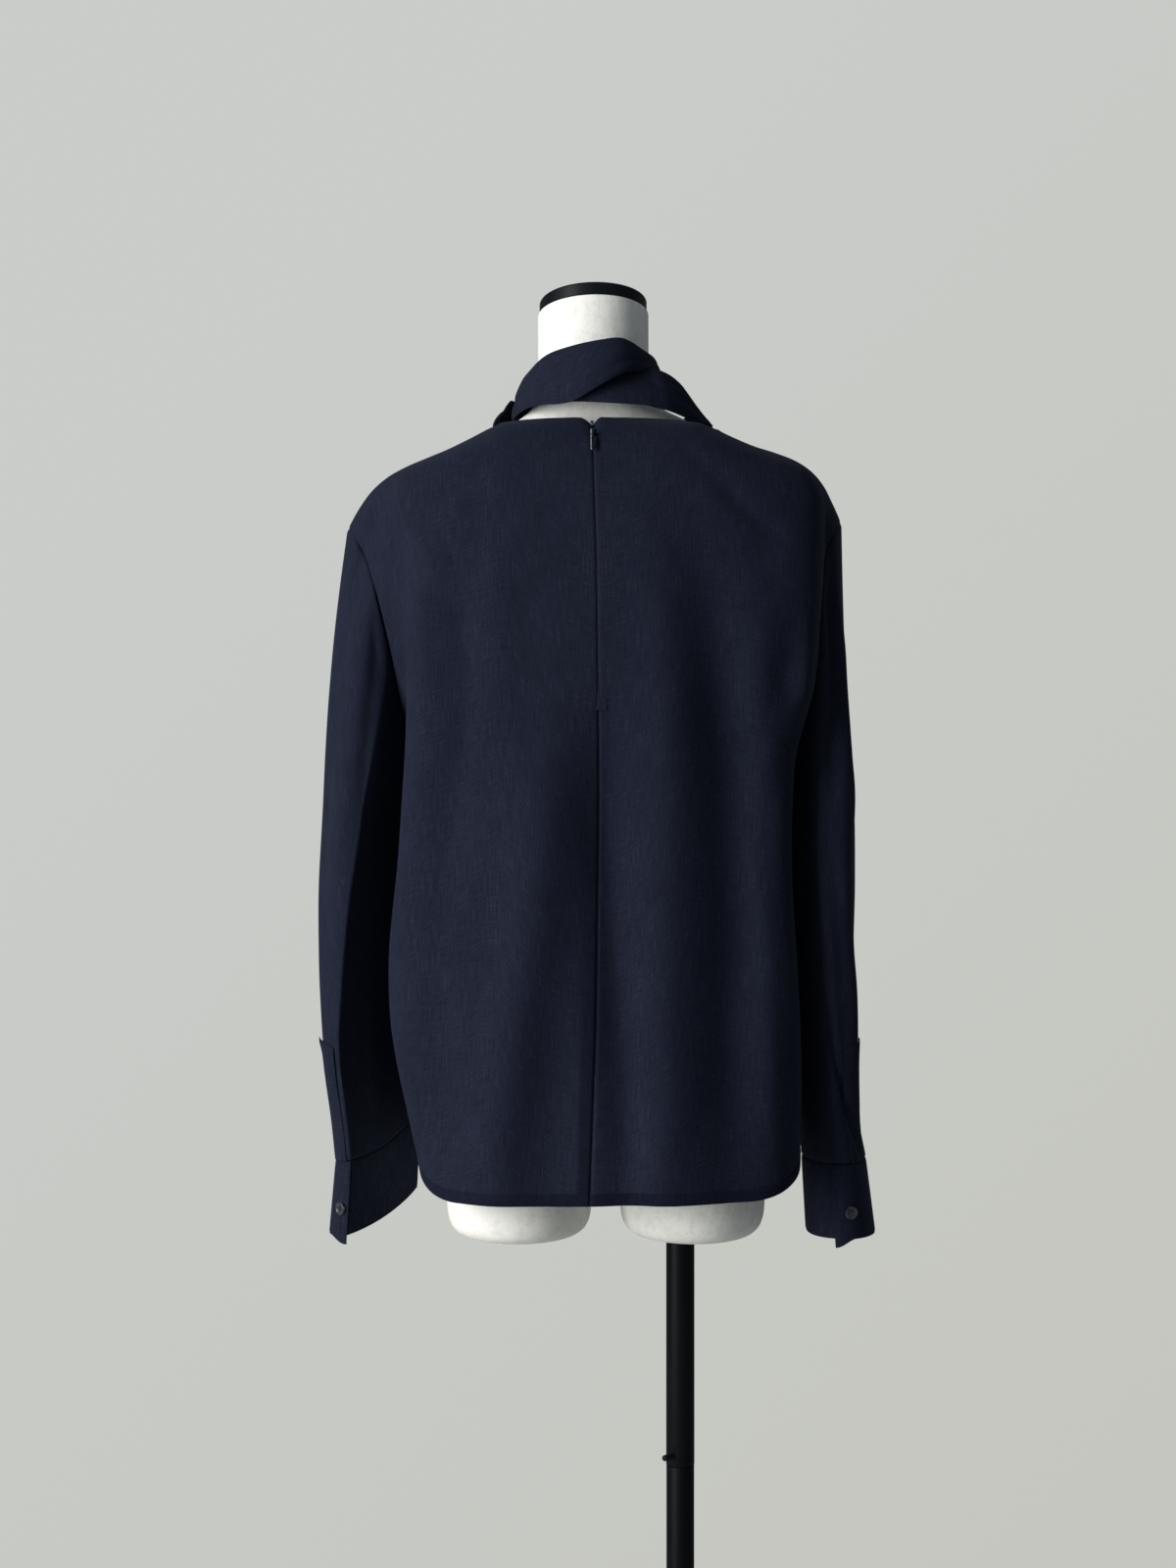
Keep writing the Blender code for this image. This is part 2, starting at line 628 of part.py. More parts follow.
def half_panel(side, front):
    """The outer points of half a panel: rows from the shoulder to the hem, columns from its centre."""
    seams = table(SEAMS[side], SEAM_COLUMNS)
    seam_y = seams["front_y" if front else "back_y"]
    rows = (FRONT_SECTIONS if front else BACK_SECTIONS)[side]
    top = np.vstack([neckline(side, front), shoulder_line(side)])
    share = np.linspace(0.0, 1.0, SEAM_COLUMN + 1)
    top_fall = (top[:, 2] - top[0, 2]) / (top[-1, 2] - top[0, 2])
    if front:
        top_fall = share**1.5
    levels = []
    for i, row in enumerate(rows, start=1):
        plan = section(row, seams["x"][i], seam_y[i])
        below = min(1.0, (i - 1) / 3)
        fall = top_fall * (1 - below) + share**2 * below
        if i >= len(rows) - 1:
            fall = smoothstep((share - HEM_RISE_START) / (HEM_RISE_END - HEM_RISE_START))
        z = row[0] + (seams["z"][i] - row[0]) * fall
        levels.append(np.column_stack([plan, z]))
    cap = levels[0]
    grid = []
    roundness = 0.3 + 0.7 * smoothstep(np.linspace(0.0, SEAM_COLUMN / NECK_COLUMN, SEAM_COLUMN + 1))
    for k in range(SHOULDER_STEPS):
        u = k / SHOULDER_STEPS
        turn = u * math.pi / 2
        out = (1 - roundness) * u + roundness * math.sin(turn)
        down = (1 - roundness) * u + roundness * (1 - math.cos(turn))
        x = top[:, 0] + (cap[:, 0] - top[:, 0]) * (u * 0.5 + down * 0.5)
        y = top[:, 1] + (cap[:, 1] - top[:, 1]) * out
        z = top[:, 2] + (cap[:, 2] - top[:, 2]) * down
        grid.append(np.stack([x, y, z], axis=1))
    stacked = np.array(levels)
    lower = through(stacked.reshape(len(levels), -1), LEVEL_STEPS).reshape(-1, SEAM_COLUMN + 1, 3)
    grid = np.concatenate([np.array(grid), lower])
    grid[UNDERARM_ROW:, -1, 1] = 0.0
    if not front:
        inside = np.linspace(1.0, 0.0, SEAM_COLUMN + 1) ** 0.2
        inside[-1] = 0.0
        grid[:, :, 1] += fold_depth(side, grid[:, :, 0], grid[:, :, 2]) * inside
    return grid


def to_side(grid, side):
    """A half panel is made on +X; the left one is mirrored."""
    made = grid.copy()
    if side == "left":
        made[:, :, 0] *= -1
    return made


def wander(grid):
    """Moves a back panel's columns with the centre back seam."""
    heights = [z for z, _ in CENTRE_BACK_LINE][::-1]
    offsets = [x for _, x in CENTRE_BACK_LINE][::-1]
    made = grid.copy()
    shift = np.interp(grid[:, :1, 2], heights, offsets)
    made[:, :, 0] += shift * np.linspace(1.0, 0.0, grid.shape[1])
    return made


def lifted(lift, turn):
    """How much higher a sleeve's or cuff's ring stands at a turn from its outer side."""
    return lift * ((1.0 - math.cos(turn)) / 2) ** LIFT_CURVE


def sleeve_ring(row, ribs):
    z, out_x, in_x, back_y, front_y, lift = row
    ring = []
    for k in range(ribs):
        turn = 2 * math.pi * k / ribs
        depth = -back_y if turn <= math.pi else front_y
        x = (out_x + in_x) / 2 + (out_x - in_x) / 2 * math.cos(turn)
        ring.append((x, -depth * math.sin(turn), z + lifted(lift, turn)))
    return np.array(ring)


def sleeve_grid(side, back, front):
    """Outer points of a sleeve on +X: the first ring is the armhole's own points."""
    armhole = np.vstack([back[: UNDERARM_ROW + 1, -1], front[UNDERARM_ROW - 1 : 0 : -1, -1]])
    ribs = len(armhole)
    rings = [sleeve_ring(row, ribs) for row in SLEEVES[side]]
    first = rings[0]
    centre = first.mean(axis=0)
    outward = unit((first - centre) * np.array([1.0, 1.0, 0.0]))
    head = []
    for k in range(SLEEVE_HEAD_STEPS):
        t = k / SLEEVE_HEAD_STEPS
        ease = t + 0.06 * math.sin(math.pi * t)
        ring = armhole + (first - armhole) * np.array([ease, ease, t])
        bulge = SLEEVE_HEAD_BULGE[side] * math.sin(math.pi * t) * (0.5 + 0.5 * outward[:, :1])
        head.append(ring + outward * bulge)
    return np.array(head + rings)


def join_normals(edges):
    """Gives pieces that meet at a seam the same normal there, but not where the seam is a deep valley."""
    shared = unit(sum(edges[1:], edges[0].copy()))
    agree = np.min([(edge * shared).sum(axis=1) for edge in edges], axis=0) > VALLEY_LIMIT
    for edge in edges:
        edge[...] = np.where(agree[:, None], shared, edge)


def inset(grid, edge, half=SEAM_GAP / 2):
    """Draws one edge of a grid back from the seam."""
    if edge == "top":
        grid[0] += unit(grid[1] - grid[0]) * half
    elif edge == "bottom":
        grid[-1] += unit(grid[-2] - grid[-1]) * half
    elif edge == "first":
        grid[:, 0] += unit(grid[:, 1] - grid[:, 0]) * half
    elif edge == "last":
        grid[:, -1] += unit(grid[:, -2] - grid[:, -1]) * half


def cloth_grids():
    """The outer points and outward normals of the five panels, sharing points at their seams."""
    grids = {}
    for side in ("left", "right"):
        grids["back_" + side] = wander(to_side(half_panel(side, front=False), side))
        grids["front_" + side] = to_side(half_panel(side, front=True), side)
    for side in ("left", "right"):
        back = to_side(grids["back_" + side], side)
        front = to_side(grids["front_" + side], side)
        grids["sleeve_" + side] = to_side(sleeve_grid(side, back, front), side)
    normals = {}
    for name, grid in grids.items():
        made = grid_normals(grid, wraps=name.startswith("sleeve"))
        middle = np.array([0.0, 0.0, 0.0])
        if name.startswith("sleeve"):
            middle = grid[-1].mean(axis=0)
        away = ((grid - middle) * np.array([1.0, 1.0, 0.0]) * made).sum()
        normals[name] = made if away > 0 else -made
    for side in ("left", "right"):
        back, front, sleeve = (normals[part + side] for part in ("back_", "front_", "sleeve_"))
        join_normals([back[0, NECK_COLUMN:], front[0, NECK_COLUMN:]])
        join_normals([back[UNDERARM_ROW:, -1], front[UNDERARM_ROW:, -1]])
        join_normals([back[:UNDERARM_ROW, -1], sleeve[0, :UNDERARM_ROW]])
        lower = sleeve[0, UNDERARM_ROW:]
        join_normals([front[UNDERARM_ROW:0:-1, -1], lower])
        join_normals([back[0, -1:], front[0, -1:], sleeve[0, :1]])
        under = slice(UNDERARM_ROW, UNDERARM_ROW + 1)
        join_normals([back[under, -1], front[under, -1], sleeve[0, under]])
    join_normals([normals["back_left"][:, 0], normals["back_right"][:, 0]])
    centre = unit(normals["front_left"][:, 0] + normals["front_right"][:, 0])
    normals["front_left"][:, 0] = centre
    normals["front_right"][:, 0] = centre
    return grids, normals


def build_panels(grids, normals):
    for side in ("left", "right"):
        name = "back_" + side
        outer = grids[name].copy()
        inner = outer - normals[name] * WALL
        for edge in ("first", "last"):
            inset(outer, edge)
            inset(inner, edge)
        shoulder = slice(NECK_COLUMN, None)
        inset(outer[:, shoulder], "top")
        inset(inner[:, shoulder], "top")
        add_shell(name, outer, inner, NAVY)
    outer = np.concatenate([grids["front_left"][:, :0:-1], grids["front_right"]], axis=1)
    normal = np.concatenate([normals["front_left"][:, :0:-1], normals["front_right"]], axis=1)
    inner = outer - normal * WALL
    for surface in (outer, inner):
        inset(surface, "first")
        inset(surface, "last")
        inset(surface[:, : SEAM_COLUMN - NECK_COLUMN + 1], "top")
        inset(surface[:, SEAM_COLUMN + NECK_COLUMN :], "top")
    add_shell("front", outer, inner, NAVY)


def build_sleeves(grids, normals):
    for side in ("left", "right"):
        name = "sleeve_" + side
        outer = grids[name].copy()
        inner = outer - normals[name] * WALL
        inset(outer, "top", ARMHOLE_INSET)
        inset(inner, "top", ARMHOLE_INSET)
        add_shell(name, outer, inner, NAVY, wraps=True)
        first = PLACKET_FIRST[side]
        ribs = slice(first, first + PLACKET_RIBS + 1)
        top = SLEEVE_HEAD_STEPS + PLACKET_TOP_RING
        lying = grids[name][top:, ribs] + normals[name][top:, ribs] * LAY_GAP
        lying[0, :, 2] -= np.linspace(0.0, PLACKET_POINT, PLACKET_RIBS + 1)
        lying[-1, :, 2] += LAY_GAP
        add_shell("placket_" + side, lying + normals[name][top:, ribs] * WALL, lying, NAVY)


def build_cuffs():
    for side in ("left", "right"):
        sign = -1 if side == "left" else 1
        _, out_x, in_x, back_y, front_y, lift = SLEEVES[side][-1]
        flare_out, flare_in = CUFF_FLARE[side]
        end = CUFF_END[side]
        rows = []
        for low in (0.0, 0.5, 1.0):
            row = []
            for k in range(CUFF_SEGMENTS + 1):
                share = k / CUFF_SEGMENTS
                turn = math.radians(end - (360.0 + CUFF_LAP) * share)
                half = (out_x - in_x) / 2 + (flare_out - flare_in) / 2 * low
                middle = (out_x + in_x) / 2 + (flare_out + flare_in) / 2 * low
                depth = -back_y if math.sin(turn) > 0 else front_y
                tuck = (CUFF_WALL + LAY_GAP + 0.5) * smoothstep((share - 0.72) / 0.16)
                x = middle + (half - tuck) * math.cos(turn)
                y = -(depth - tuck) * math.sin(turn)
                point = CUFF_POINT * (1 - smoothstep(share / 0.09)) * low
                row.append((sign * x, y, CUFF_TOP + lifted(lift, turn) - CUFF_DEPTH * low - point))
            rows.append(row)
        outer = np.array(rows)
        normal = grid_normals(outer)
        middle = np.array([sign * (out_x + in_x) / 2, 0.0, 0.0])
        if ((outer - middle) * np.array([1.0, 1.0, 0.0]) * normal).sum() < 0:
            normal = -normal
        add_shell("cuff_" + side, outer, outer - normal * CUFF_WALL, NAVY)
        build_button(side, sign, end, (out_x, in_x, back_y), (flare_out, flare_in))


def build_button(side, sign, end, cuff, flare):
    out_x, in_x, back_y = cuff
    low = (CUFF_TOP - BUTTON_Z) / CUFF_DEPTH
    half = (out_x - in_x) / 2 + (flare[0] - flare[1]) / 2 * low
    middle = (out_x + in_x) / 2 + (flare[0] + flare[1]) / 2 * low
    turn = math.radians(end - BUTTON_FROM_END[side])
    place = Vector((sign * (middle + half * math.cos(turn)), back_y * math.sin(turn), BUTTON_Z))
    facing = Vector((sign * math.cos(turn) / half, math.sin(turn) / back_y, 0.0)).normalized()
    start = LAY_GAP + 0.25
    profile = (
        (BUTTON_RADIUS * 0.86, start),
        (BUTTON_RADIUS, start + BUTTON_THICKNESS * 0.35),
        (BUTTON_RADIUS, start + BUTTON_THICKNESS * 0.7),
        (BUTTON_RADIUS * 0.84, start + BUTTON_THICKNESS),
        (BUTTON_RADIUS * 0.70, start + BUTTON_THICKNESS * 0.74),
    )
    turn_to = Vector((0.0, 0.0, 1.0)).rotation_difference(facing)
    rings = []
    for radius, rise in profile:
        ring = []
        for j in range(20):
            around = 2 * math.pi * j / 20
            spot = Vector((radius * math.cos(around), radius * math.sin(around), rise))
            ring.append(tuple(place + turn_to @ spot))
        rings.append(ring)
    points, faces = rings_to_solid(rings)
    smooth(add_object("button_" + side, points, faces, DARK_METAL, 0.4), 30.0)


def build_band(name, rows, steps=BAND_STATIONS):
    """A band of cloth standing on its low edge, with its top leaning to the neck's axis."""
    low, high = [], []
    for x, y, low_z, high_z, lean in rows:
        toward = np.array([-x, -y, 0.0]) / math.hypot(x, y)
        low.append((x, y, low_z))
        high.append(np.array([x, y, high_z]) + toward * lean)
    low = through(low, steps)
    high = through(high, steps)
    middle = (low + high) / 2
    middle[:, :2] += unit(middle[:, :2]) * BAND_BULGE
    outer = np.array([low, middle, high])
    normal = grid_normals(outer)
    if ((outer * np.array([1.0, 1.0, 0.0])) * normal).sum() < 0:
        normal = -normal
    add_shell(name, outer, outer - normal * BAND_WALL, NAVY)


def build_front_band(grids):
    """The band that carries the ties, on the front panel's own neckline."""
    sides = table(FRONT_BAND, FRONT_BAND_COLUMNS)
    halves = {}
    for side in ("left", "right"):
        half = []
        for i in range(NECK_COLUMN + 1):
            x, y, z = grids["front_" + side][0, i]
            low = z + 2 * SEAM_GAP
            half.append((x, y, low, low + sides[side + "_height"][i], sides[side + "_lean"][i]))
        halves[side] = half
    build_band("tie_band_front", halves["left"][:0:-1] + halves["right"], 1)


def build_knot():
    rings = []
    for level in (-0.96, -0.72, -0.3, 0.2, 0.66, 0.95):
        width = math.sqrt(1 - level * level)
        ring = []
        for j in range(16):
            turn = 2 * math.pi * j / 16
            across = math.copysign(abs(math.cos(turn)) ** 0.8, math.cos(turn))
            deep = math.copysign(abs(math.sin(turn)) ** 0.8, math.sin(turn))
            offset = np.array([across * width, deep * width, level]) * np.array(KNOT_RADII)
            ring.append(tuple(np.array(KNOT_CENTRE) + offset))
        rings.append(ring)
    points, faces = rings_to_solid(rings)
    smooth(add_object("tie_knot", points, faces, NAVY), 40.0)


def front_surface(grids, x, z):
    """The y of the front panel's outer surface above a place."""
    half = grids["front_left" if x < 0 else "front_right"]
    rows = half.shape[0]
    ys = [np.interp(abs(x), np.abs(half[i, :ROLL_COLUMN, 0]), half[i, :ROLL_COLUMN, 1]) for i in range(rows)]
    zs = [np.interp(abs(x), np.abs(half[i, :ROLL_COLUMN, 0]), half[i, :ROLL_COLUMN, 2]) for i in range(rows)]
    return float(np.interp(z, zs[::-1], ys[::-1]))


def build_tails(grids):
    for side in ("left", "right"):
        rows = through(np.array(TAILS[side]), 3)
        rows = at_fractions(rows, [k / TAIL_STEPS for k in range(TAIL_STEPS + 1)])
        outer = []
        for z, centre_x, width in rows:
            row = []
            for across in (-0.5, -0.17, 0.17, 0.5):
                x = centre_x + width * across
                crown = TAIL_CLEARANCE + 2.0 * math.cos(across * 5.0)
                rest = front_surface(grids, x, min(z, TAIL_REST_Z)) + crown
                up = smoothstep((z - TAIL_REST_Z) / (TAILS[side][0][0] - TAIL_REST_Z))
                row.append((x, rest + (KNOT_CENTRE[1] - rest) * up, z))
            outer.append(row)
        outer = np.array(outer)
        normal = grid_normals(outer)
        if normal[:, :, 1].sum() < 0:
            normal = -normal
        add_shell("tie_tail_" + side, outer + normal * BAND_WALL, outer, NAVY)


def centre_back(grids, z):
    """The place and outward direction of the centre back seam at a height."""
    line = grids["back_left"][:, 0]
    here = [np.interp(z, line[::-1, 2], line[::-1, k]) for k in (0, 1)]
    above = np.interp(z + 6.0, line[::-1, 2], line[::-1, 1])
    below = np.interp(z - 6.0, line[::-1, 2], line[::-1, 1])
    slope = math.atan2(above - below, 12.0)
    return np.array([here[0], here[1], z]), slope


def at_height(line, z):
    """The point of a falling line at a height; above its top it runs on along its first stretch."""
    if z > line[0, 2]:
        return line[0] + (line[0] - line[1]) * (z - line[0, 2]) / (line[0, 2] - line[1, 2])
    return np.array([np.interp(z, line[::-1, 2], line[::-1, k]) for k in range(3)])


def build_zip(grids, normals):
    """The tape lies inside the back panels, on their own points moved in."""
    columns = []
    for name, column in (("back_left", 1), ("back_left", 0), ("back_right", 1)):
        line = grids[name][:, column] - normals[name][:, column] * (WALL + LAY_GAP + 0.15)
        columns.append([at_height(line, ZIP_TOP - ZIP_LENGTH * k / ZIP_STEPS) for k in range(ZIP_STEPS + 1)])
    outer = np.array(columns).transpose(1, 0, 2)
    normal = grid_normals(outer)
    if normal[:, :, 1].sum() > 0:
        normal = -normal
    add_shell("zip_tape", outer, outer - normal * ZIP_TAPE_WALL, NAVY)
    build_slider(grids)


def build_slider(grids):
    """The slider's body with its bridge bar, and the pull tab that swings on the bar."""
    place, slope = centre_back(grids, SLIDER_TOP - SLIDER_LENGTH / 2)
    tilt = Matrix.Rotation(-slope, 4, "X")
    body_front = -SLIDER_CLEARANCE
    half = SLIDER_WIDTH / 2
    long = SLIDER_LENGTH / 2
    back = body_front - SLIDER_THICKNESS
    right = ((half * 0.8, long), (half, 0.0), (half * 0.6, -long))
    outline = right + tuple((-x, z) for x, z in right[::-1])
    rings = [[(x, y, z) for x, z in outline] for y in (body_front, back)]
    points, faces = rings_to_solid(rings)
    centre = Vector(place)
    placed = [tuple(centre + tilt @ Vector(p)) for p in points]
    body = add_object("zip_slider", placed, faces, DARK_METAL, 0.4, 0.8)
    smooth(body, 30.0)

    bar_y = back - SLIDER_BAR_RISE
    bar_z = -long + SLIDER_BAR_UP
    add_bridge(body, centre, tilt, bar_y, bar_z, back)
    axis = centre + tilt @ Vector((0.0, bar_y, bar_z))
    build_pull(axis)


def add_bridge(body, centre, tilt, bar_y, bar_z, back):
    """Two cheeks and a bar over the slider's lower half, joined to its body."""
    half = SLIDER_WIDTH / 2
    mesh = bpy.data.meshes.new("bridge")
    shape = bmesh.new()
    for x in (-half + 0.45, half - 0.45):
        bmesh.ops.create_cube(
            shape,
            size=MM,
            matrix=Matrix.Translation(Vector((x, (bar_y - 0.3 + back + 0.4) / 2, bar_z)) * MM)
            @ Matrix.Diagonal((0.9, abs(bar_y - 0.3 - back - 0.4), 2.0, 1.0)),
        )
    bmesh.ops.transform(shape, matrix=Matrix.Translation(centre * MM) @ tilt, verts=shape.verts)
    shape.to_mesh(mesh)
    shape.free()
    cheeks = bpy.data.objects.new("bridge_cheeks", mesh)
    cheeks.hide_render = True
    cheeks.display_type = "WIRE"
    bpy.context.scene.collection.objects.link(cheeks)
    boolean(body, cheeks, "UNION")
    middle = centre + tilt @ Vector((0.0, bar_y, bar_z))
    bar = cutter("bridge_bar", SLIDER_BAR_RADIUS, -half + 0.1, half - 0.1, middle, (1.0, 0.0, 0.0), 12)
    boolean(body, bar, "UNION")


def build_pull(axis):
    """A drop-shaped tab with an eye round the slider's bar; its origin is on the bar's axis."""
    eye = SLIDER_BAR_RADIUS + 0.3
    ring = eye + 0.7
    half_eye = (SLIDER_WIDTH - 2 * 0.9) / 2 - 0.3
    profile = (
        (ring * 1.0, half_eye),
        (-ring * 0.6, half_eye),
        (-ring * 1.6, half_eye * 0.9),
        (-PULL_LENGTH * 0.45, PULL_WIDTH * 0.34),
        (-PULL_LENGTH * 0.68, PULL_WIDTH * 0.5),
        (-PULL_LENGTH * 0.84, PULL_WIDTH * 0.46),
        (-PULL_LENGTH * 0.95, PULL_WIDTH * 0.28),
        (-PULL_LENGTH, PULL_WIDTH * 0.08),
    )
    outline = [(half, z) for z, half in profile] + [(-half, z) for z, half in profile[::-1]]
    hang = Matrix.Rotation(-PULL_HANG, 4, "X")
    rings = []
    for y in (-PULL_THICKNESS / 2, PULL_THICKNESS / 2):
        rings.append([tuple(axis + hang @ Vector((x, y, z))) for x, z in outline])
    points, faces = rings_to_solid(rings)
    tab = add_object("zip_pull", points, faces, DARK_METAL, 0.3, 0.8, origin=tuple(axis))
    smooth(tab, 30.0)
    eye_body = cutter("eye_body", ring, -half_eye + 0.02, half_eye - 0.02, axis, (1.0, 0.0, 0.0), 16)
    boolean(tab, eye_body, "UNION")
    hole = cutter("eye_hole", eye, -PULL_WIDTH, PULL_WIDTH, axis, (1.0, 0.0, 0.0), 16)
    boolean(tab, hole, "DIFFERENCE")


# ---------------------------------------------------------------- dress form and stand


def neck_plane(x, y, rise=0.0):
    return NECK_TOP_Z - y * math.tan(NECK_TILT) + x * math.tan(NECK_ROLL) + rise


def tilted_ring(radii, rise, scale=1.0):
    ring = []
    for j in range(FORM_SEGMENTS):
        turn = 2 * math.pi * j / FORM_SEGMENTS
        x = -0.5 + radii[0] * scale * math.sin(turn)
        y = radii[1] * scale * math.cos(turn)
        ring.append((x, y, neck_plane(x, y, rise)))
    return ring


def build_form():
    sections = table(FORM_SECTIONS, FORM_COLUMNS)
    names = ("centre_x", "half_width", "side_y", "back_y", "front_y", "z", "fade")
    rows = np.stack([sections[name] for name in names], axis=1)
    rings = [ellipse(*row[:6], FORM_SEGMENTS, row[6]) for row in rows]
    rings.append(tilted_ring(NECK_RADII, 0.0))
    points, faces = rings_to_solid(rings)
    torso = add_object("form_torso", points, faces, WHITE_JERSEY, 0.85)
    smooth(torso, 60.0)
    for side in ("left", "right"):
        stub = []
        for z, scale in THIGH_SECTIONS:
            across, deep = THIGH_RADII[0] * scale, THIGH_RADII[1] * scale
            back_y, front_y = THIGH_CENTRE_Y - deep, THIGH_CENTRE_Y + deep
            centre = (THIGH_CENTRE_X[side], across, THIGH_CENTRE_Y)
            stub.append(ellipse(*centre, back_y, front_y, z, THIGH_SEGMENTS))
        points, faces = rings_to_solid(stub)
        thigh = add_object("thigh_" + side, points, faces, WHITE_JERSEY, 0.85)
        thigh.hide_render = True
        thigh.display_type = "WIRE"
        boolean(torso, thigh, "UNION")
    bore = cutter("pole_bore", POLE_RADIUS + RUN_GAP + 0.1, 700.0, POLE_TOP + RUN_GAP, (POLE_X, POLE_Y, 0.0))
    boolean(torso, bore, "DIFFERENCE")

    cap = [tilted_ring(CAP_RADII, RUN_GAP), tilted_ring(CAP_RADII, RUN_GAP + CAP_HEIGHT - 2.0)]
    cap.append(tilted_ring(CAP_RADII, RUN_GAP + CAP_HEIGHT, 0.965))
    points, faces = rings_to_solid(cap)
    smooth(add_object("neck_cap", points, faces, BLACK, 0.3), 30.0)


def build_stand():
    centre = (POLE_X, POLE_Y)
    foot = BASE_THICKNESS + RUN_GAP
    tube_low = ((LOWER_POLE_RADIUS, foot), (LOWER_POLE_RADIUS, BUTT_Z))
    rod = ((ROD_RADIUS, BUTT_Z), (ROD_RADIUS, ROD_TOP))
    turned_solid(tube_low + rod, POLE_SIDES, centre, BLACK, "pole_lower", 0.3)
    butt = BUTT_Z + RUN_GAP
    inside = ((POLE_BORE_RADIUS, POLE_BORE_TOP), (POLE_BORE_RADIUS, butt))
    outside = ((POLE_RADIUS, butt), (POLE_RADIUS, POLE_TOP))
    tube = turned_solid(inside + outside, POLE_SIDES, centre, BLACK, "pole_upper", 0.3)

    pointing = (math.cos(SCREW_ANGLE), math.sin(SCREW_ANGLE), 0.0)
    start = (POLE_X, POLE_Y, SCREW_Z)
    hole = cutter("screw_hole", SCREW_RADIUS + RUN_GAP, ROD_RADIUS - 4.0, SCREW_REACH, start, pointing, 16)
    boolean(tube, hole, "DIFFERENCE")
    build_screw(start, pointing)

    side = ((BASE_RADIUS, 0.0), (BASE_RADIUS, BASE_THICKNESS - EDGE_ROUND))
    plate = side + ((BASE_RADIUS - EDGE_ROUND, BASE_THICKNESS),)
    turned_solid(plate, 64, (0.0, 0.0), BLACK, "base_plate", 0.35)
    top = foot + COLLAR_HEIGHT
    collar = ((COLLAR_RADIUS, foot), (COLLAR_RADIUS, top - EDGE_ROUND), (COLLAR_RADIUS - EDGE_ROUND, top))
    ring = turned_solid(collar, POLE_SIDES, centre, BLACK, "base_collar", 0.35)
    bore = cutter("collar_bore", LOWER_POLE_RADIUS + RUN_GAP, -20.0, 80.0, (*centre, 0.0))
    boolean(ring, bore, "DIFFERENCE")


def build_screw(start, pointing):
    """The screw that clamps the rod, turning about its own length."""
    aim = Vector((0.0, 0.0, 1.0)).rotation_difference(Vector(pointing))
    profile = (
        (SCREW_RADIUS * 0.7, ROD_RADIUS + RUN_GAP),
        (SCREW_RADIUS, ROD_RADIUS + RUN_GAP + 0.8),
        (SCREW_RADIUS, SCREW_REACH - 0.6),
        (SCREW_RADIUS * 0.8, SCREW_REACH),
    )
    rings = []
    for radius, reach in profile:
        ring = []
        for j in range(16):
            around = 2 * math.pi * j / 16
            spot = Vector((radius * math.cos(around), radius * math.sin(around), reach))
            ring.append(tuple(Vector(start) + aim @ spot))
        rings.append(ring)
    points, faces = rings_to_solid(rings)
    smooth(add_object("lock_screw", points, faces, BLACK, 0.35, 0.6, origin=start), 30.0)


def main():
    clear_scene()
    grids, normals = cloth_grids()
    build_panels(grids, normals)
    build_sleeves(grids, normals)
    build_cuffs()
    build_band("tie_wrap_outer", TIE_OUTER)
    build_band("tie_wrap_inner", TIE_INNER)
    build_front_band(grids)
    build_knot()
    build_tails(grids)
    build_zip(grids, normals)
    build_form()
    build_stand()


main()
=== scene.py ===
import math

import bmesh
import bpy
import numpy as np
from mathutils import Matrix, Vector


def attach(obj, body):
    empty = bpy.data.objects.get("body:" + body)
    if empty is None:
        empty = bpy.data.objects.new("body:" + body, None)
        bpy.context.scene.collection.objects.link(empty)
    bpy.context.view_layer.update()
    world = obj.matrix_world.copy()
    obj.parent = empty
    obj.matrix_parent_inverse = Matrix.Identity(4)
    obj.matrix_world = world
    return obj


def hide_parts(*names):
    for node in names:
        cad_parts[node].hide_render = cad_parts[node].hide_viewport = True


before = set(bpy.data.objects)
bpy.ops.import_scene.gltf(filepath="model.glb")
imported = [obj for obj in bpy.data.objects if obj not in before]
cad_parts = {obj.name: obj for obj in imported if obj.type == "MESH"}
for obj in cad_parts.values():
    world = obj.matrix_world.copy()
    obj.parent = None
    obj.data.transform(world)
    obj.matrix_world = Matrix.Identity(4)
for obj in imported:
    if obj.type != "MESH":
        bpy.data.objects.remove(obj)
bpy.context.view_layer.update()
mm = 0.001  # the tables below are in millimetres


# ---- small tools

def deselectAll():
    if bpy.context.object and bpy.context.object.mode != "OBJECT":
        bpy.ops.object.mode_set(mode="OBJECT")
    bpy.ops.object.select_all(action="DESELECT")


def makeActive(obj):
    deselectAll()
    obj.select_set(True)
    bpy.context.view_layer.objects.active = obj


def addObject(name, data):
    obj = bpy.data.objects.new(name, data)
    bpy.context.scene.collection.objects.link(obj)
    return obj


def copyOf(model):
    return addObject("copy", model.data.copy())


def table(rows, columns):
    values = np.array(rows, float)
    return {name: values[:, i] for i, name in enumerate(columns)}


def unit(vectors):
    length = np.linalg.norm(vectors, axis=-1, keepdims=True)
    return vectors / np.where(length > 0, length, 1.0)


def ease(value):
    t = np.clip(value, 0.0, 1.0)
    return t * t * (3 - 2 * t)


def hill(value):
    # 1 at 0, falling softly on both sides
    return np.exp(-(value**2))


def through(points, steps):
    # a smooth curve through the points, with equal steps from each to the next
    known = np.asarray(points, float)
    ends = np.concatenate([[2 * known[0] - known[1]], known, [2 * known[-1] - known[-2]]])
    made = []
    for i in range(len(known) - 1):
        before, start, end, after = ends[i : i + 4]
        for k in range(steps):
            t = k / steps
            bend = 2 * before - 5 * start + 4 * end - after
            twist = 3 * start - before - 3 * end + after
            made.append(0.5 * (2 * start + (end - before) * t + bend * t**2 + twist * t**3))
    made.append(known[-1])
    return np.array(made)


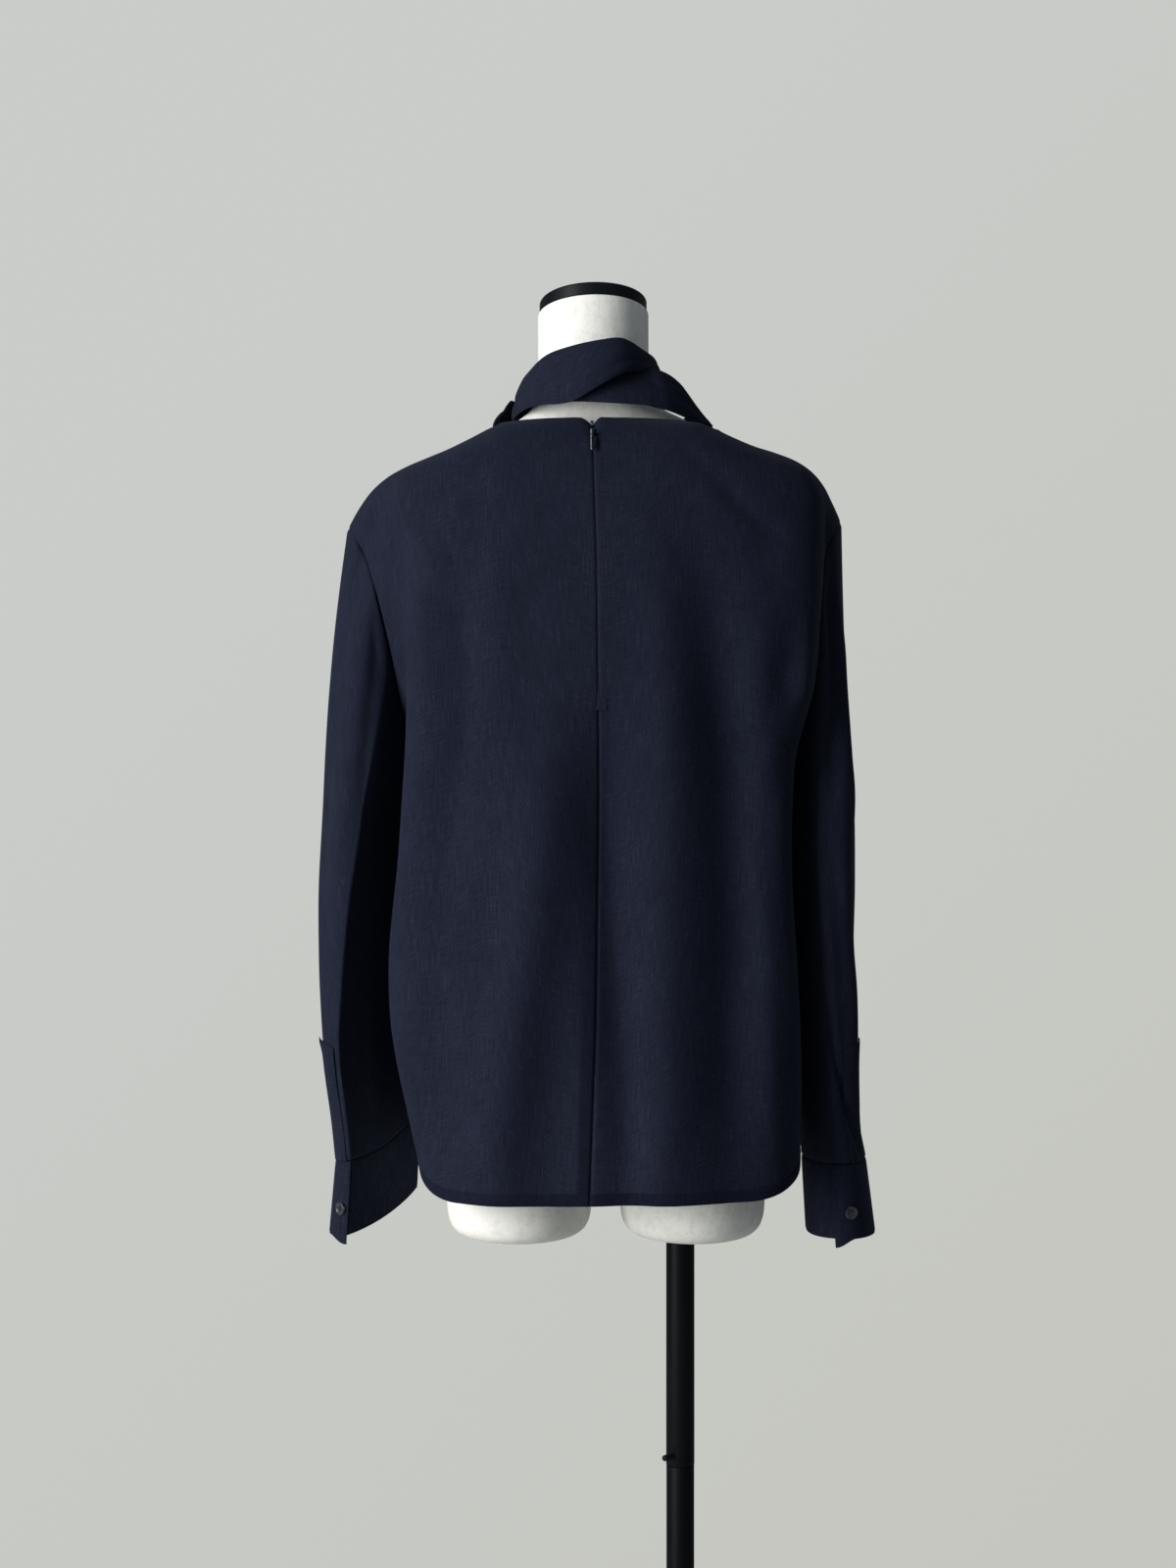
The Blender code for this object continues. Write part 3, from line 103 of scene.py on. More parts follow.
def finer(grid, rowSteps, columnSteps):
    rows = through(grid, rowSteps)
    return through(rows.transpose(1, 0, 2), columnSteps).transpose(1, 0, 2)


def atFractions(points, fractions):
    path = np.asarray(points, float)
    run = np.concatenate([[0.0], np.cumsum(np.linalg.norm(np.diff(path, axis=0), axis=1))])
    want = np.asarray(fractions) * run[-1]
    return np.stack([np.interp(want, run, path[:, k]) for k in range(path.shape[1])], axis=1)


def gridNormals(grid, wraps=False):
    if wraps:
        across = np.roll(grid, -1, axis=1) - np.roll(grid, 1, axis=1)
    else:
        across = np.gradient(grid, axis=1)
    return unit(np.cross(across, np.gradient(grid, axis=0)))


def outwardNormals(grid, middle, wraps=False):
    normal = gridNormals(grid, wraps)
    away = ((grid - np.asarray(middle)) * np.array([1.0, 1.0, 0.0]) * normal).sum()
    return normal if away > 0 else -normal


def clothUv(grid, wraps=False, start=0):
    # lengths along the cloth in metres: u across from a start column, v down
    loop = np.concatenate([grid, grid[:, :1]], axis=1) if wraps else grid
    across = np.linalg.norm(np.diff(loop, axis=1), axis=2)
    if wraps:
        across[:] = across.mean(axis=0)
    u = np.concatenate([np.zeros((len(loop), 1)), np.cumsum(across, axis=1)], axis=1)
    u -= u[:, start : start + 1]
    down = np.linalg.norm(np.diff(loop, axis=0), axis=2)
    v = np.concatenate([np.zeros((1, loop.shape[1])), np.cumsum(down, axis=0)], axis=0)
    return np.stack([u, v], axis=2) * mm


def quads(rows, columns, wraps):
    span = columns if wraps else columns - 1
    i, j = np.meshgrid(np.arange(rows - 1), np.arange(span), indexing="ij")
    k = (j + 1) % columns
    corners = [i * columns + j, (i + 1) * columns + j, (i + 1) * columns + k, i * columns + k]
    uvCorners = [(i, j), (i + 1, j), (i + 1, j + 1), (i, j + 1)]
    return np.stack(corners, axis=-1).reshape(-1, 4), uvCorners


def clothPiece(name, outer, normals, wall, material, wraps=False, start=0, tone=None):
    # one layer of cloth as a closed wall: its outer face, its inner face and its edges
    rows, columns = outer.shape[:2]
    count = rows * columns
    inner = outer - normals * wall
    uv = clothUv(outer, wraps, start)
    faces, uvCorners = quads(rows, columns, wraps)
    faceUv = np.stack([uv[i, j] for i, j in uvCorners], axis=2).reshape(-1, 4, 2)
    edgeLoops = [[(0, j) for j in range(uv.shape[1])], [(rows - 1, j) for j in range(uv.shape[1])][::-1]]
    if not wraps:
        edgeLoops.append([(i, 0) for i in range(rows)][::-1])
        edgeLoops.append([(i, columns - 1) for i in range(rows)])
    edgeFaces, edgeUv = [], []
    for loop in edgeLoops:
        for (i, j), (m, n) in zip(loop, loop[1:]):
            a, b = i * columns + j % columns, m * columns + n % columns
            edgeFaces.append((a, b, b + count, a + count))
            edgeUv.append((uv[i, j], uv[m, n], uv[m, n], uv[i, j]))
    allFaces = np.concatenate([faces, faces[:, ::-1] + count, np.array(edgeFaces)])
    allUv = np.concatenate([faceUv, faceUv[:, ::-1], np.array(edgeUv)])
    points = np.concatenate([outer.reshape(-1, 3), inner.reshape(-1, 3)]) * mm
    a, b, c = (points[faces[:, k]] for k in range(3))
    facing = (np.cross(b - a, c - a) * normals.reshape(-1, 3)[faces[:, 0]]).sum()
    if facing < 0:
        allFaces = allFaces[:, ::-1]
        allUv = allUv[:, ::-1]
    mesh = bpy.data.meshes.new(name)
    mesh.from_pydata(points.tolist(), [], allFaces.tolist())
    mesh.uv_layers.new(name="cloth").data.foreach_set("uv", allUv.astype(np.float32).ravel())
    # the painted backlight for each point, zero where a piece has none
    shade = np.zeros((rows, columns)) if tone is None else tone
    layer = mesh.attributes.new("tone", "FLOAT", "POINT")
    layer.data.foreach_set("value", np.concatenate([shade.ravel(), shade.ravel()]).astype(np.float32))
    mesh.update()
    mesh.shade_smooth()
    mesh.set_sharp_from_angle(angle=math.radians(70))
    mesh.materials.append(material)
    return addObject(name, mesh)


def finishPiece(obj, body, replaced=()):
    if replaced:
        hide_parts(*replaced)
    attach(obj, body)


def addBlock(size, place):
    deselectAll()
    bpy.ops.mesh.primitive_cube_add(size=1.0, location=[c * mm for c in place])
    obj = bpy.context.object
    bpy.ops.transform.resize(value=[c * mm for c in size])
    bpy.ops.object.transform_apply(location=True, rotation=True, scale=True)
    return obj


def addRod(radius, length, place, axis="Z", sides=24):
    deselectAll()
    middle = [c * mm for c in place]
    bpy.ops.mesh.primitive_cylinder_add(vertices=sides, radius=radius * mm, depth=length * mm, location=middle)
    obj = bpy.context.object
    if axis != "Z":
        about = "Y" if axis == "X" else "X"
        bpy.ops.transform.rotate(value=math.radians(90), orient_axis=about, center_override=obj.location)
    bpy.ops.object.transform_apply(location=True, rotation=True, scale=True)
    return obj


def resizeWhere(obj, chosen, value, pivot=(0.0, 0.0, 0.0)):
    # scales the points that a test picks
    makeActive(obj)
    bpy.ops.object.mode_set(mode="EDIT")
    bpy.ops.mesh.select_mode(type="VERT")
    bpy.ops.mesh.select_all(action="DESELECT")
    shape = bmesh.from_edit_mesh(obj.data)
    for vert in shape.verts:
        vert.select_set(bool(chosen(vert.co / mm)))
    bmesh.update_edit_mesh(obj.data)
    bpy.ops.transform.resize(value=value, center_override=[c * mm for c in pivot])
    bpy.ops.object.mode_set(mode="OBJECT")


def applyModifier(obj, kind, **values):
    makeActive(obj)
    change = obj.modifiers.new(kind.lower(), kind)
    for key, value in values.items():
        setattr(change, key, value)
    bpy.ops.object.modifier_apply(modifier=change.name)


def combine(obj, other, operation="UNION"):
    applyModifier(obj, "BOOLEAN", operation=operation, object=other, solver="EXACT")
    bpy.data.objects.remove(other)


def smoothEdges(obj, degrees=35):
    makeActive(obj)
    bpy.ops.object.shade_smooth_by_angle(angle=math.radians(degrees))


def joinAll(parts):
    makeActive(parts[0])
    for part in parts:
        part.select_set(True)
    bpy.ops.object.join()
    return parts[0]


def pickFaces(obj, chosen):
    # leaves the piece in edit mode, with the faces that a test picks by their normal
    makeActive(obj)
    bpy.ops.object.mode_set(mode="EDIT")
    bpy.ops.mesh.select_mode(type="FACE")
    bpy.ops.mesh.select_all(action="DESELECT")
    shape = bmesh.from_edit_mesh(obj.data)
    for face in shape.faces:
        face.select_set(bool(chosen(face.normal)))
    bmesh.update_edit_mesh(obj.data)


# ---- materials

def newMaterial(name, finish):
    made = bpy.data.materials.new(name)
    made.use_nodes = True
    shader = made.node_tree.nodes["Principled BSDF"]
    for socket, value in finish.items():
        shader.inputs[socket].default_value = value
    return made, made.node_tree, shader


def objectPlace(tree):
    return tree.nodes.new("ShaderNodeTexCoord").outputs["Object"]


def noiseOf(tree, vector, scale, detail=2.0, rough=0.5):
    # noise stretched by its three scales
    mapping = tree.nodes.new("ShaderNodeMapping")
    mapping.inputs["Scale"].default_value = scale
    tree.links.new(vector, mapping.inputs["Vector"])
    noise = tree.nodes.new("ShaderNodeTexNoise")
    noise.inputs["Scale"].default_value = 1.0
    noise.inputs["Detail"].default_value = detail
    noise.inputs["Roughness"].default_value = rough
    tree.links.new(mapping.outputs["Vector"], noise.inputs["Vector"])
    return noise.outputs["Fac"]


def mathOf(tree, kind, a, b):
    node = tree.nodes.new("ShaderNodeMath")
    node.operation = kind
    for socket, value in zip(node.inputs, (a, b)):
        if isinstance(value, (int, float)):
            socket.default_value = value
        else:
            tree.links.new(value, socket)
    return node.outputs[0]


def scaledOf(tree, value, scale, added):
    return mathOf(tree, "ADD", mathOf(tree, "MULTIPLY", value, scale), added)


def mixOf(tree, a, shareA, b, shareB):
    return scaledOf(tree, a, shareA, mathOf(tree, "MULTIPLY", b, shareB))


def rampOf(tree, fac, stops, socket):
    ramp = tree.nodes.new("ShaderNodeValToRGB")
    while len(ramp.color_ramp.elements) < len(stops):
        ramp.color_ramp.elements.new(0.5)
    for element, (place, colour) in zip(ramp.color_ramp.elements, stops):
        element.position = place
        element.color = (*colour, 1.0)
    tree.links.new(fac, ramp.inputs["Fac"])
    tree.links.new(ramp.outputs["Color"], socket)


def bumpOf(tree, height, distance, shader):
    node = tree.nodes.new("ShaderNodeBump")
    node.inputs["Distance"].default_value = distance
    tree.links.new(height, node.inputs["Height"])
    tree.links.new(node.outputs["Normal"], shader.inputs["Normal"])


crepe = {
    "stops": (
        (0.30, (0.0022, 0.0037, 0.0094)),
        (0.50, (0.0092, 0.0116, 0.0240)),
        (0.74, (0.0292, 0.0345, 0.0575)),
    ),
    "warpSlub": (1500.0, 45.0, 1.0),  # noise cells per metre across and along the thread
    "weftSlub": (70.0, 1300.0, 1.0),
    "warpThread": (3600.0, 260.0, 1.0),
    "weftThread": (260.0, 3600.0, 1.0),
    "cloud": (26.0, 11.0, 1.0),
    "warpShare": 0.55,
    "slubShare": 0.62,
    "threadShare": 0.28,
    "cloudShare": 0.10,
    "relief": 0.00022,
    "threadRelief": 0.7,
    "finish": {
        "Roughness": 0.86,
        "Sheen Weight": 0.045,
        "Sheen Roughness": 0.45,
        "Sheen Tint": (0.60, 0.68, 0.95, 1.0),
        "Specular IOR Level": 0.08,
    },
}


def crepeMaterial():
    made, tree, shader = newMaterial("navyCrepe", crepe["finish"])
    uv = tree.nodes.new("ShaderNodeUVMap")
    uv.uv_map = "cloth"
    place = uv.outputs["UV"]
    warp, weft, cloud = (noiseOf(tree, place, crepe[name], 3.0) for name in ("warpSlub", "weftSlub", "cloud"))
    fineWarp, fineWeft = (noiseOf(tree, place, crepe[name], 1.0) for name in ("warpThread", "weftThread"))
    slub = mixOf(tree, warp, crepe["warpShare"], weft, 1 - crepe["warpShare"])
    threads = mathOf(tree, "MULTIPLY", mathOf(tree, "ADD", fineWarp, fineWeft), 0.5)
    mixed = mixOf(tree, slub, crepe["slubShare"], threads, crepe["threadShare"])
    mixed = scaledOf(tree, cloud, crepe["cloudShare"], mixed)
    # painted backlight: a point attribute shifts the cloth's colour lighter where light from behind would come
    # through one layer and darker at doubled layers
    tone = tree.nodes.new("ShaderNodeAttribute")
    tone.attribute_name = "tone"
    shade = mathOf(tree, "ADD", mixed, tone.outputs["Fac"])
    rampOf(tree, shade, crepe["stops"], shader.inputs["Base Color"])
    bumpOf(tree, scaledOf(tree, threads, crepe["threadRelief"], slub), crepe["relief"], shader)
    return made


thread = {
    "fuzz": (4000.0, 4000.0, 4000.0),
    "stops": ((0.3, (0.006, 0.008, 0.016)), (0.7, (0.020, 0.024, 0.042))),
    "finish": {"Roughness": 0.6, "Sheen Weight": 0.2},
}


def threadMaterial():
    made, tree, shader = newMaterial("navyThread", thread["finish"])
    fuzz = noiseOf(tree, objectPlace(tree), thread["fuzz"], 1.0)
    rampOf(tree, fuzz, thread["stops"], shader.inputs["Base Color"])
    return made


jersey = {
    "knit": (900.0, 900.0, 620.0),
    "mottle": (140.0, 140.0, 110.0),
    "knitShare": 0.4,
    "mottleShare": 0.6,
    "stops": ((0.36, (0.74, 0.732, 0.680)), (0.52, (0.87, 0.862, 0.805))),
    "relief": 0.0003,
    "finish": {"Roughness": 0.9, "Sheen Weight": 0.2, "Specular IOR Level": 0.3},
}


def jerseyMaterial():
    made, tree, shader = newMaterial("whiteJersey", jersey["finish"])
    place = objectPlace(tree)
    knit = noiseOf(tree, place, jersey["knit"], 2.0)
    mottle = noiseOf(tree, place, jersey["mottle"], 4.0, 0.6)
    mixed = mixOf(tree, knit, jersey["knitShare"], mottle, jersey["mottleShare"])
    rampOf(tree, mixed, jersey["stops"], shader.inputs["Base Color"])
    bumpOf(tree, mixed, jersey["relief"], shader)
    return made


satin = {
    "grain": (700.0, 700.0, 700.0),
    "smudge": (22.0, 22.0, 9.0),
    "stops": (0.35, 0.70),
    "roughness": 0.34,
    "smudgeRoughness": 0.22,
    "relief": 0.00004,
    "finish": {"Specular IOR Level": 0.10},
    "part": ((0.0035, 0.0045, 0.006), (0.009, 0.011, 0.014)),
    "pole": ((0.0012, 0.0018, 0.0026), (0.0030, 0.0040, 0.0052)),
}


def satinBlackMaterial(name, colours):
    made, tree, shader = newMaterial(name, satin["finish"])
    place = objectPlace(tree)
    grain = noiseOf(tree, place, satin["grain"], 3.0)
    smudge = noiseOf(tree, place, satin["smudge"], 4.0)
    rampOf(tree, smudge, tuple(zip(satin["stops"], colours)), shader.inputs["Base Color"])
    rough = scaledOf(tree, smudge, satin["smudgeRoughness"], satin["roughness"])
    tree.links.new(rough, shader.inputs["Roughness"])
    bumpOf(tree, grain, satin["relief"], shader)
    return made


# the zip's dark paint and its painted highlight, a bright line at a set x left of the middle
zipPaintAndHighlight = {
    "line": -2.35,
    "width": 0.95,
    "speckle": (240.0, 240.0, 420.0),
    "speckleShare": 0.9,
    "reach": 0.5,
    "stops": ((0.25, (0.006, 0.009, 0.016)), (0.62, (0.52, 0.57, 0.64))),
    "finish": {"Metallic": 0.6, "Roughness": 0.38},
}


def zipMetalMaterial():
    # dark paint with a painted highlight: a bright metal-coloured line left of the middle, broken up by
    # speckle
    made, tree, shader = newMaterial("zipMetal", zipPaintAndHighlight["finish"])
    place = objectPlace(tree)
    highlightSpeckle = noiseOf(tree, place, zipPaintAndHighlight["speckle"], 3.0)
    split = tree.nodes.new("ShaderNodeSeparateXYZ")
    tree.links.new(place, split.inputs["Vector"])
    beside = mathOf(tree, "SUBTRACT", split.outputs["X"], zipPaintAndHighlight["line"] * mm)
    off = mathOf(tree, "MULTIPLY", mathOf(tree, "ABSOLUTE", beside, 0.0), 1 / (zipPaintAndHighlight["width"] * mm))
    # painted highlight: bright near the line, dark paint everywhere else
    paintedHighlight = mathOf(tree, "SUBTRACT", scaledOf(tree, highlightSpeckle, zipPaintAndHighlight["speckleShare"], zipPaintAndHighlight["reach"]), off)
    rampOf(tree, paintedHighlight, zipPaintAndHighlight["stops"], shader.inputs["Base Color"])
    return made


plastic = {
    "cloud": (260.0, 260.0, 260.0),
    "stops": ((0.35, (0.012, 0.013, 0.018)), (0.60, (0.045, 0.046, 0.055)), (0.75, (0.09, 0.088, 0.092))),
    "finish": {"Roughness": 0.22, "Coat Weight": 0.4},
}


def buttonMaterial():
    made, tree, shader = newMaterial("buttonPlastic", plastic["finish"])
    cloud = noiseOf(tree, objectPlace(tree), plastic["cloud"], 4.0, 0.6)
    rampOf(tree, cloud, plastic["stops"], shader.inputs["Base Color"])
    return made


clothLook = crepeMaterial()
threadLook = threadMaterial()
jerseyLook = jerseyMaterial()
satinBlack = satinBlackMaterial("satinBlack", satin["part"])
poleBlack = satinBlackMaterial("poleBlack", satin["pole"])
zipLook = zipMetalMaterial()
buttonLook = buttonMaterial()
print("materials made")


# ---- camera

cameraLook = {"place": (-0.005, -2.0, 1.150), "lens": 52.31, "sensor": 36.0}


def makeCamera():
    data = bpy.data.cameras.new("camera")
    data.sensor_width = cameraLook["sensor"]
    data.lens = cameraLook["lens"]
    camera = addObject("camera", data)
    camera.location = cameraLook["place"]
    camera.rotation_euler = (math.radians(90), 0.0, 0.0)
    bpy.context.scene.camera = camera


makeCamera()


# ---- the blouse's cut: the same sizes as its solids, sampled finely

bodyAxis = (0.0, 0.0, 0.0)  # cloth faces away from it

blouse = {
    "wall": 0.6,
    "rowSteps": 8,
    "columnSteps": 6,
    "shoulderSteps": 3,
    "levelSteps": 2,
    "centreSpacing": (0.0, 0.035, 0.16, 0.30, 0.43, 0.56, 0.68, 0.79, 0.90, 1.0),
    "neckColumn": 4,
    "squareness": 0.86,
    "neckZ": 1459.5,
    "neckPointX": {"left": 88.0, "right": 104.0},
    "neckPointY": -12.0,
    "backNeckY": -72.0,
    "frontNeckY": 74.0,
    "frontNeckDrop": 76.0,
    "hemRise": (0.48, 1.0),
    "centreBackLine": ((1461.0, -1.5), (1330.0, 2.5), (1150.0, 4.5), (950.0, 2.0), (804.0, -3.5)),
}
underarmRow = blouse["shoulderSteps"] + 4 * blouse["levelSteps"]
seamColumn = len(blouse["centreSpacing"]) + 2

# leftX, leftZ, rightX, rightZ
shoulderLine = (
    (88, 1459.5, 104, 1459.5),
    (121, 1442.5, 134, 1445),
    (153, 1430, 164, 1435.5),
    (179, 1419, 187, 1424),
    (199, 1402, 204, 1407),
    (216, 1374, 217.5, 1379),
)

# one row for each level from the shoulder tip to the hem: x, backY, frontY, z
sideSeams = {
    "left": (
        (216, 0, 0, 1374),
        (199, -34, 32, 1348),
        (188, -46, 46, 1316),
        (177, -44, 52, 1272),
        (168, -30, 38, 1220),
        (160, 0, 0, 1172),
        (157, 0, 0, 1086),
        (157, 0, 0, 1012),
        (156, 0, 0, 946),
        (150, 0, 0, 892),
        (142, 0, 0, 850),
    ),
    "right": (
        (217.5, 0, 0, 1379),
        (202, -36, 34, 1354),
        (195, -42, 48, 1320),
        (187, -40, 52, 1274),
        (175, -28, 38, 1222),
        (163, 0, 0, 1172),
        (161, 0, 0, 1086),
        (162, 0, 0, 1012),
        (166, 0, 0, 946),
        (168, 0, 0, 894),
        (168, 0, 0, 854),
    ),
}

# one row for each level below the shoulder tip: centreZ, centreY, rollX, rollY, grooveX, grooveY
backSections = {
    "left": (
        (1420, -100, 174, -62, 190, -48),
        (1372, -114, 163, -76, 176, -62),
        (1306, -121, 158, -82, 160, -58),
        (1238, -122, 158, -82, 155, -46),
        (1172, -121, 160, -78, 156, -36),
        (1086, -121, 166.5, -74, 159, -34),
        (1012, -123, 174, -70, 163, -32),
        (942, -127, 172.5, -66, 163, -30),
        (872, -130, 160.5, -62, 153, -30),
        (803, -131, 147, -58, 144, -30),
    ),
    "right": (
        (1420, -100, 196, -60, 197, -48),
        (1372, -114, 195, -68, 191, -54),
        (1306, -121, 191, -72, 184, -52),
        (1238, -122, 185, -74, 175, -46),
        (1172, -121, 170, -74, 163, -36),
        (1086, -121, 167, -74, 163, -36),
        (1012, -123, 171, -72, 165, -34),
        (942, -127, 175, -68, 169, -32),
        (872, -130, 177, -62, 172, -30),
        (803, -131, 177, -54, 173, -28),
    ),
}
frontSections = {
    "left": (
        (1362, 84, 172, 52, 190, 42),
        (1326, 104, 166, 66, 178, 58),
        (1282, 120, 162, 74, 168, 60),
        (1230, 124, 160, 76, 160, 52),
        (1172, 120, 160, 72, 158, 36),
        (1086, 116, 163, 68, 161, 32),
        (1012, 116, 167, 66, 163, 32),
        (942, 118, 168, 64, 162, 30),
        (872, 121, 160, 62, 154, 30),
        (812, 122, 150, 58, 145, 30),
    ),
    "right": (
        (1362, 84, 180, 54, 194, 42),
        (1326, 104, 174, 68, 182, 58),
        (1282, 120, 168, 76, 172, 60),
        (1230, 124, 164, 76, 165, 52),
        (1172, 120, 163, 72, 161, 36),
        (1086, 116, 166, 68, 164, 32),
        (1012, 116, 169, 66, 165, 32),
        (942, 118, 172, 64, 167, 30),
        (872, 121, 173, 62, 170, 30),
        (812, 122, 172, 56, 170, 28),
    ),
}

# the solids' own large folds: side, topX, topZ, footX, footZ, halfWidth, topDepth, footDepth
largeFolds = (
    ("right", 147, 1356, 163, 1190, 11, 2, 9),
    ("left", 188, 1396, 158, 1322, 10, 2, 6),
)


def shoulderPoints(side):
    line = table(shoulderLine, ("leftX", "leftZ", "rightX", "rightZ"))
    dense = through(np.stack([line[side + "X"], line[side + "Z"]], axis=1), 6)
    count = seamColumn - blouse["neckColumn"]
    flat = atFractions(dense, [k / count for k in range(count + 1)])
    share = np.linspace(0.0, 1.0, count + 1)
    y = blouse["neckPointY"] * (1 - ease(share * 1.4))
    return np.stack([flat[:, 0], y, flat[:, 1]], axis=1)


def necklinePoints(side, front):
    endX, endY = blouse["neckPointX"][side], blouse["neckPointY"]
    depth = blouse["frontNeckY"] if front else blouse["backNeckY"]
    drop = blouse["frontNeckDrop"] if front else 0.0
    points = []
    for share in (0.0, 0.065, 0.33, 0.68):
        turn = share * math.pi / 2
        y = endY + (depth - endY) * math.cos(turn) ** 0.9
        z = blouse["neckZ"] + 1.0 - drop * math.cos(turn) ** 1.25
        points.append((endX * math.sin(turn), y, z))
    return np.array(points)


def levelSection(row, seamX, seamY):
    _, centreY, rollX, rollY, grooveX, grooveY = row
    turns = np.linspace(0.0, math.pi / 2, 40)
    x = rollX * np.sin(turns) ** blouse["squareness"]
    y = rollY + (centreY - rollY) * np.cos(turns) ** blouse["squareness"]
    inward = atFractions(np.stack([x, y], axis=1), blouse["centreSpacing"])
    path = through([inward[-2], (rollX, rollY), (grooveX, grooveY), (seamX, seamY)], 8)[8:]
    return np.vstack([inward, atFractions(path, [1 / 3, 2 / 3, 1.0])])


def largeFoldDepth(side, x, z):
    depth = np.zeros_like(x)
    for foldSide, topX, topZ, footX, footZ, halfWidth, topDepth, footDepth in largeFolds:
        if foldSide == side:
            along = (topZ - z) / (topZ - footZ)
            reach = ease((along + 0.25) / 0.25) * ease((1.2 - along) / 0.2)
            strength = topDepth + (footDepth - topDepth) * np.clip(along, 0.0, 1.0)
            middle = topX + (footX - topX) * along
            depth += strength * reach * hill((x - middle) / halfWidth)
    return depth


def halfPanel(side, front):
    seams = table(sideSeams[side], ("x", "backY", "frontY", "z"))
    seamY = seams["frontY" if front else "backY"]
    rows = (frontSections if front else backSections)[side]
    top = np.vstack([necklinePoints(side, front), shoulderPoints(side)])
    share = np.linspace(0.0, 1.0, seamColumn + 1)
    neckFall = (top[:, 2] - top[0, 2]) / (top[-1, 2] - top[0, 2])
    topFall = share**1.5 if front else neckFall
    levels = []
    for i, row in enumerate(rows, start=1):
        below = min(1.0, (i - 1) / 3)
        fall = topFall * (1 - below) + share**2 * below
        if i >= len(rows) - 1:
            low, high = blouse["hemRise"]
            fall = ease((share - low) / (high - low))
        z = row[0] + (seams["z"][i] - row[0]) * fall
        levels.append(np.column_stack([levelSection(row, seams["x"][i], seamY[i]), z]))
    cap = levels[0]
    roundness = 0.3 + 0.7 * ease(np.linspace(0.0, seamColumn / blouse["neckColumn"], seamColumn + 1))
    grid = []
    for k in range(blouse["shoulderSteps"]):
        u = k / blouse["shoulderSteps"]
        out = (1 - roundness) * u + roundness * math.sin(u * math.pi / 2)
        down = (1 - roundness) * u + roundness * (1 - math.cos(u * math.pi / 2))
        x = top[:, 0] + (cap[:, 0] - top[:, 0]) * (u + down) / 2
        y = top[:, 1] + (cap[:, 1] - top[:, 1]) * out
        z = top[:, 2] + (cap[:, 2] - top[:, 2]) * down
        grid.append(np.stack([x, y, z], axis=1))
    grid = np.concatenate([np.array(grid), through(np.array(levels), blouse["levelSteps"])])
    grid[underarmRow:, -1, 1] = 0.0
    if not front:
        inside = np.linspace(1.0, 0.0, seamColumn + 1) ** 0.2
        inside[-1] = 0.0
        grid[:, :, 1] += largeFoldDepth(side, grid[:, :, 0], grid[:, :, 2]) * inside
    return grid


def toSide(grid, side):
    made = grid.copy()
    if side == "left":
        made[..., 0] *= -1
    return made


def wander(grid):
    line = np.array(blouse["centreBackLine"])[::-1]
    shift = np.interp(grid[:, :1, 2], line[:, 0], line[:, 1])
    made = grid.copy()
    made[:, :, 0] += shift * np.linspace(1.0, 0.0, grid.shape[1])
    return made


# ---- folds and creases

# x and z of a crease's top and foot: topX, topZ, footX, footZ, halfWidth, depth (a ridge is negative)
backCreases = (
    (-140, 1372, -149, 1120, 12, -3.6),
    (-108, 1340, -114, 1120, 15, 4.4),
    (-72, 1360, -76, 1120, 18, -2.8),
    (-124, 1130, -130, 850, 20, 4.6),
    (-44, 1200, -74, 820, 27, -12.5),
    (16, 1220, 26, 814, 21, 10.5),
    (50, 1370, 62, 820, 24, -5.4),
    (100, 1340, 126, 850, 28, 12),
    (138, 1100, 150, 880, 10, -1.6),
    (70, 1436, 150, 1360, 13, 1.8),
    (-70, 1436, -150, 1370, 14, 1.6),
)
frontCreases = (
    (-96, 1300, -112, 880, 20, 2.6),
    (-58, 1290, -64, 815, 16, -2),
    (-20, 1270, -26, 830, 14, 1.6),
    (24, 1290, 18, 820, 15, -1.8),
    (66, 1280, 78, 815, 18, 2.4),
    (110, 1300, 128, 860, 18, -2.2),
    (140, 1200, 150, 900, 12, 1.8),
    (-140, 1200, -148, 890, 12, -1.8),
)


def creaseDepth(creases, x, z):
    depth = np.zeros_like(x)
    for topX, topZ, footX, footZ, halfWidth, deep in creases:
        along = (topZ - z) / (topZ - footZ)
        reach = ease((along + 0.15) / 0.45) * ease((1.25 - along) / 0.4)
        sway = 0.25 * halfWidth * np.sin(along * 5.0 + topX)
        middle = topX + (footX - topX) * along + sway
        depth += deep * reach * hill((x - middle) / halfWidth)
    return depth


def runFromEdges(grid):
    # lengths along the cloth from its first and last columns and its first and last rows
    across = np.linalg.norm(np.diff(grid, axis=1), axis=2)
    down = np.linalg.norm(np.diff(grid, axis=0), axis=2)
    first = np.concatenate([np.zeros((len(grid), 1)), np.cumsum(across, axis=1)], axis=1)
    top = np.concatenate([np.zeros((1, grid.shape[1])), np.cumsum(down, axis=0)], axis=0)
    return first, first[:, -1:] - first, top, top[-1:] - top


hem = {
    "depth": 10.0,
    "rise": 0.45,
    "stepFrom": 9.4,
    "stepOver": 1.0,
    "edgeRound": (0.35, 0.8),
    "stitchDip": 0.35,
    "stitchWidth": 0.5,
    "rowsFrom": 1.5,
    "rows": (13.0, 11.2, 10.5, 10.0, 9.5, 8.6, 6.0, 3.0, 1.2, 0.4, 0.0),
}


def withHemRows(grid):
    # the last rows stand at set lengths from the hem's edge, so that the turned hem is crisp
    low = runFromEdges(grid)[3]
    kept = grid[low.min(axis=1) > hem["rows"][0] + hem["rowsFrom"]]
    made = []
    for want in hem["rows"]:
        row = []
        for j in range(grid.shape[1]):
            row.append([np.interp(want, low[::-1, j], grid[::-1, j, k]) for k in range(3)])
        made.append(row)
    return np.concatenate([kept, np.array(made)])


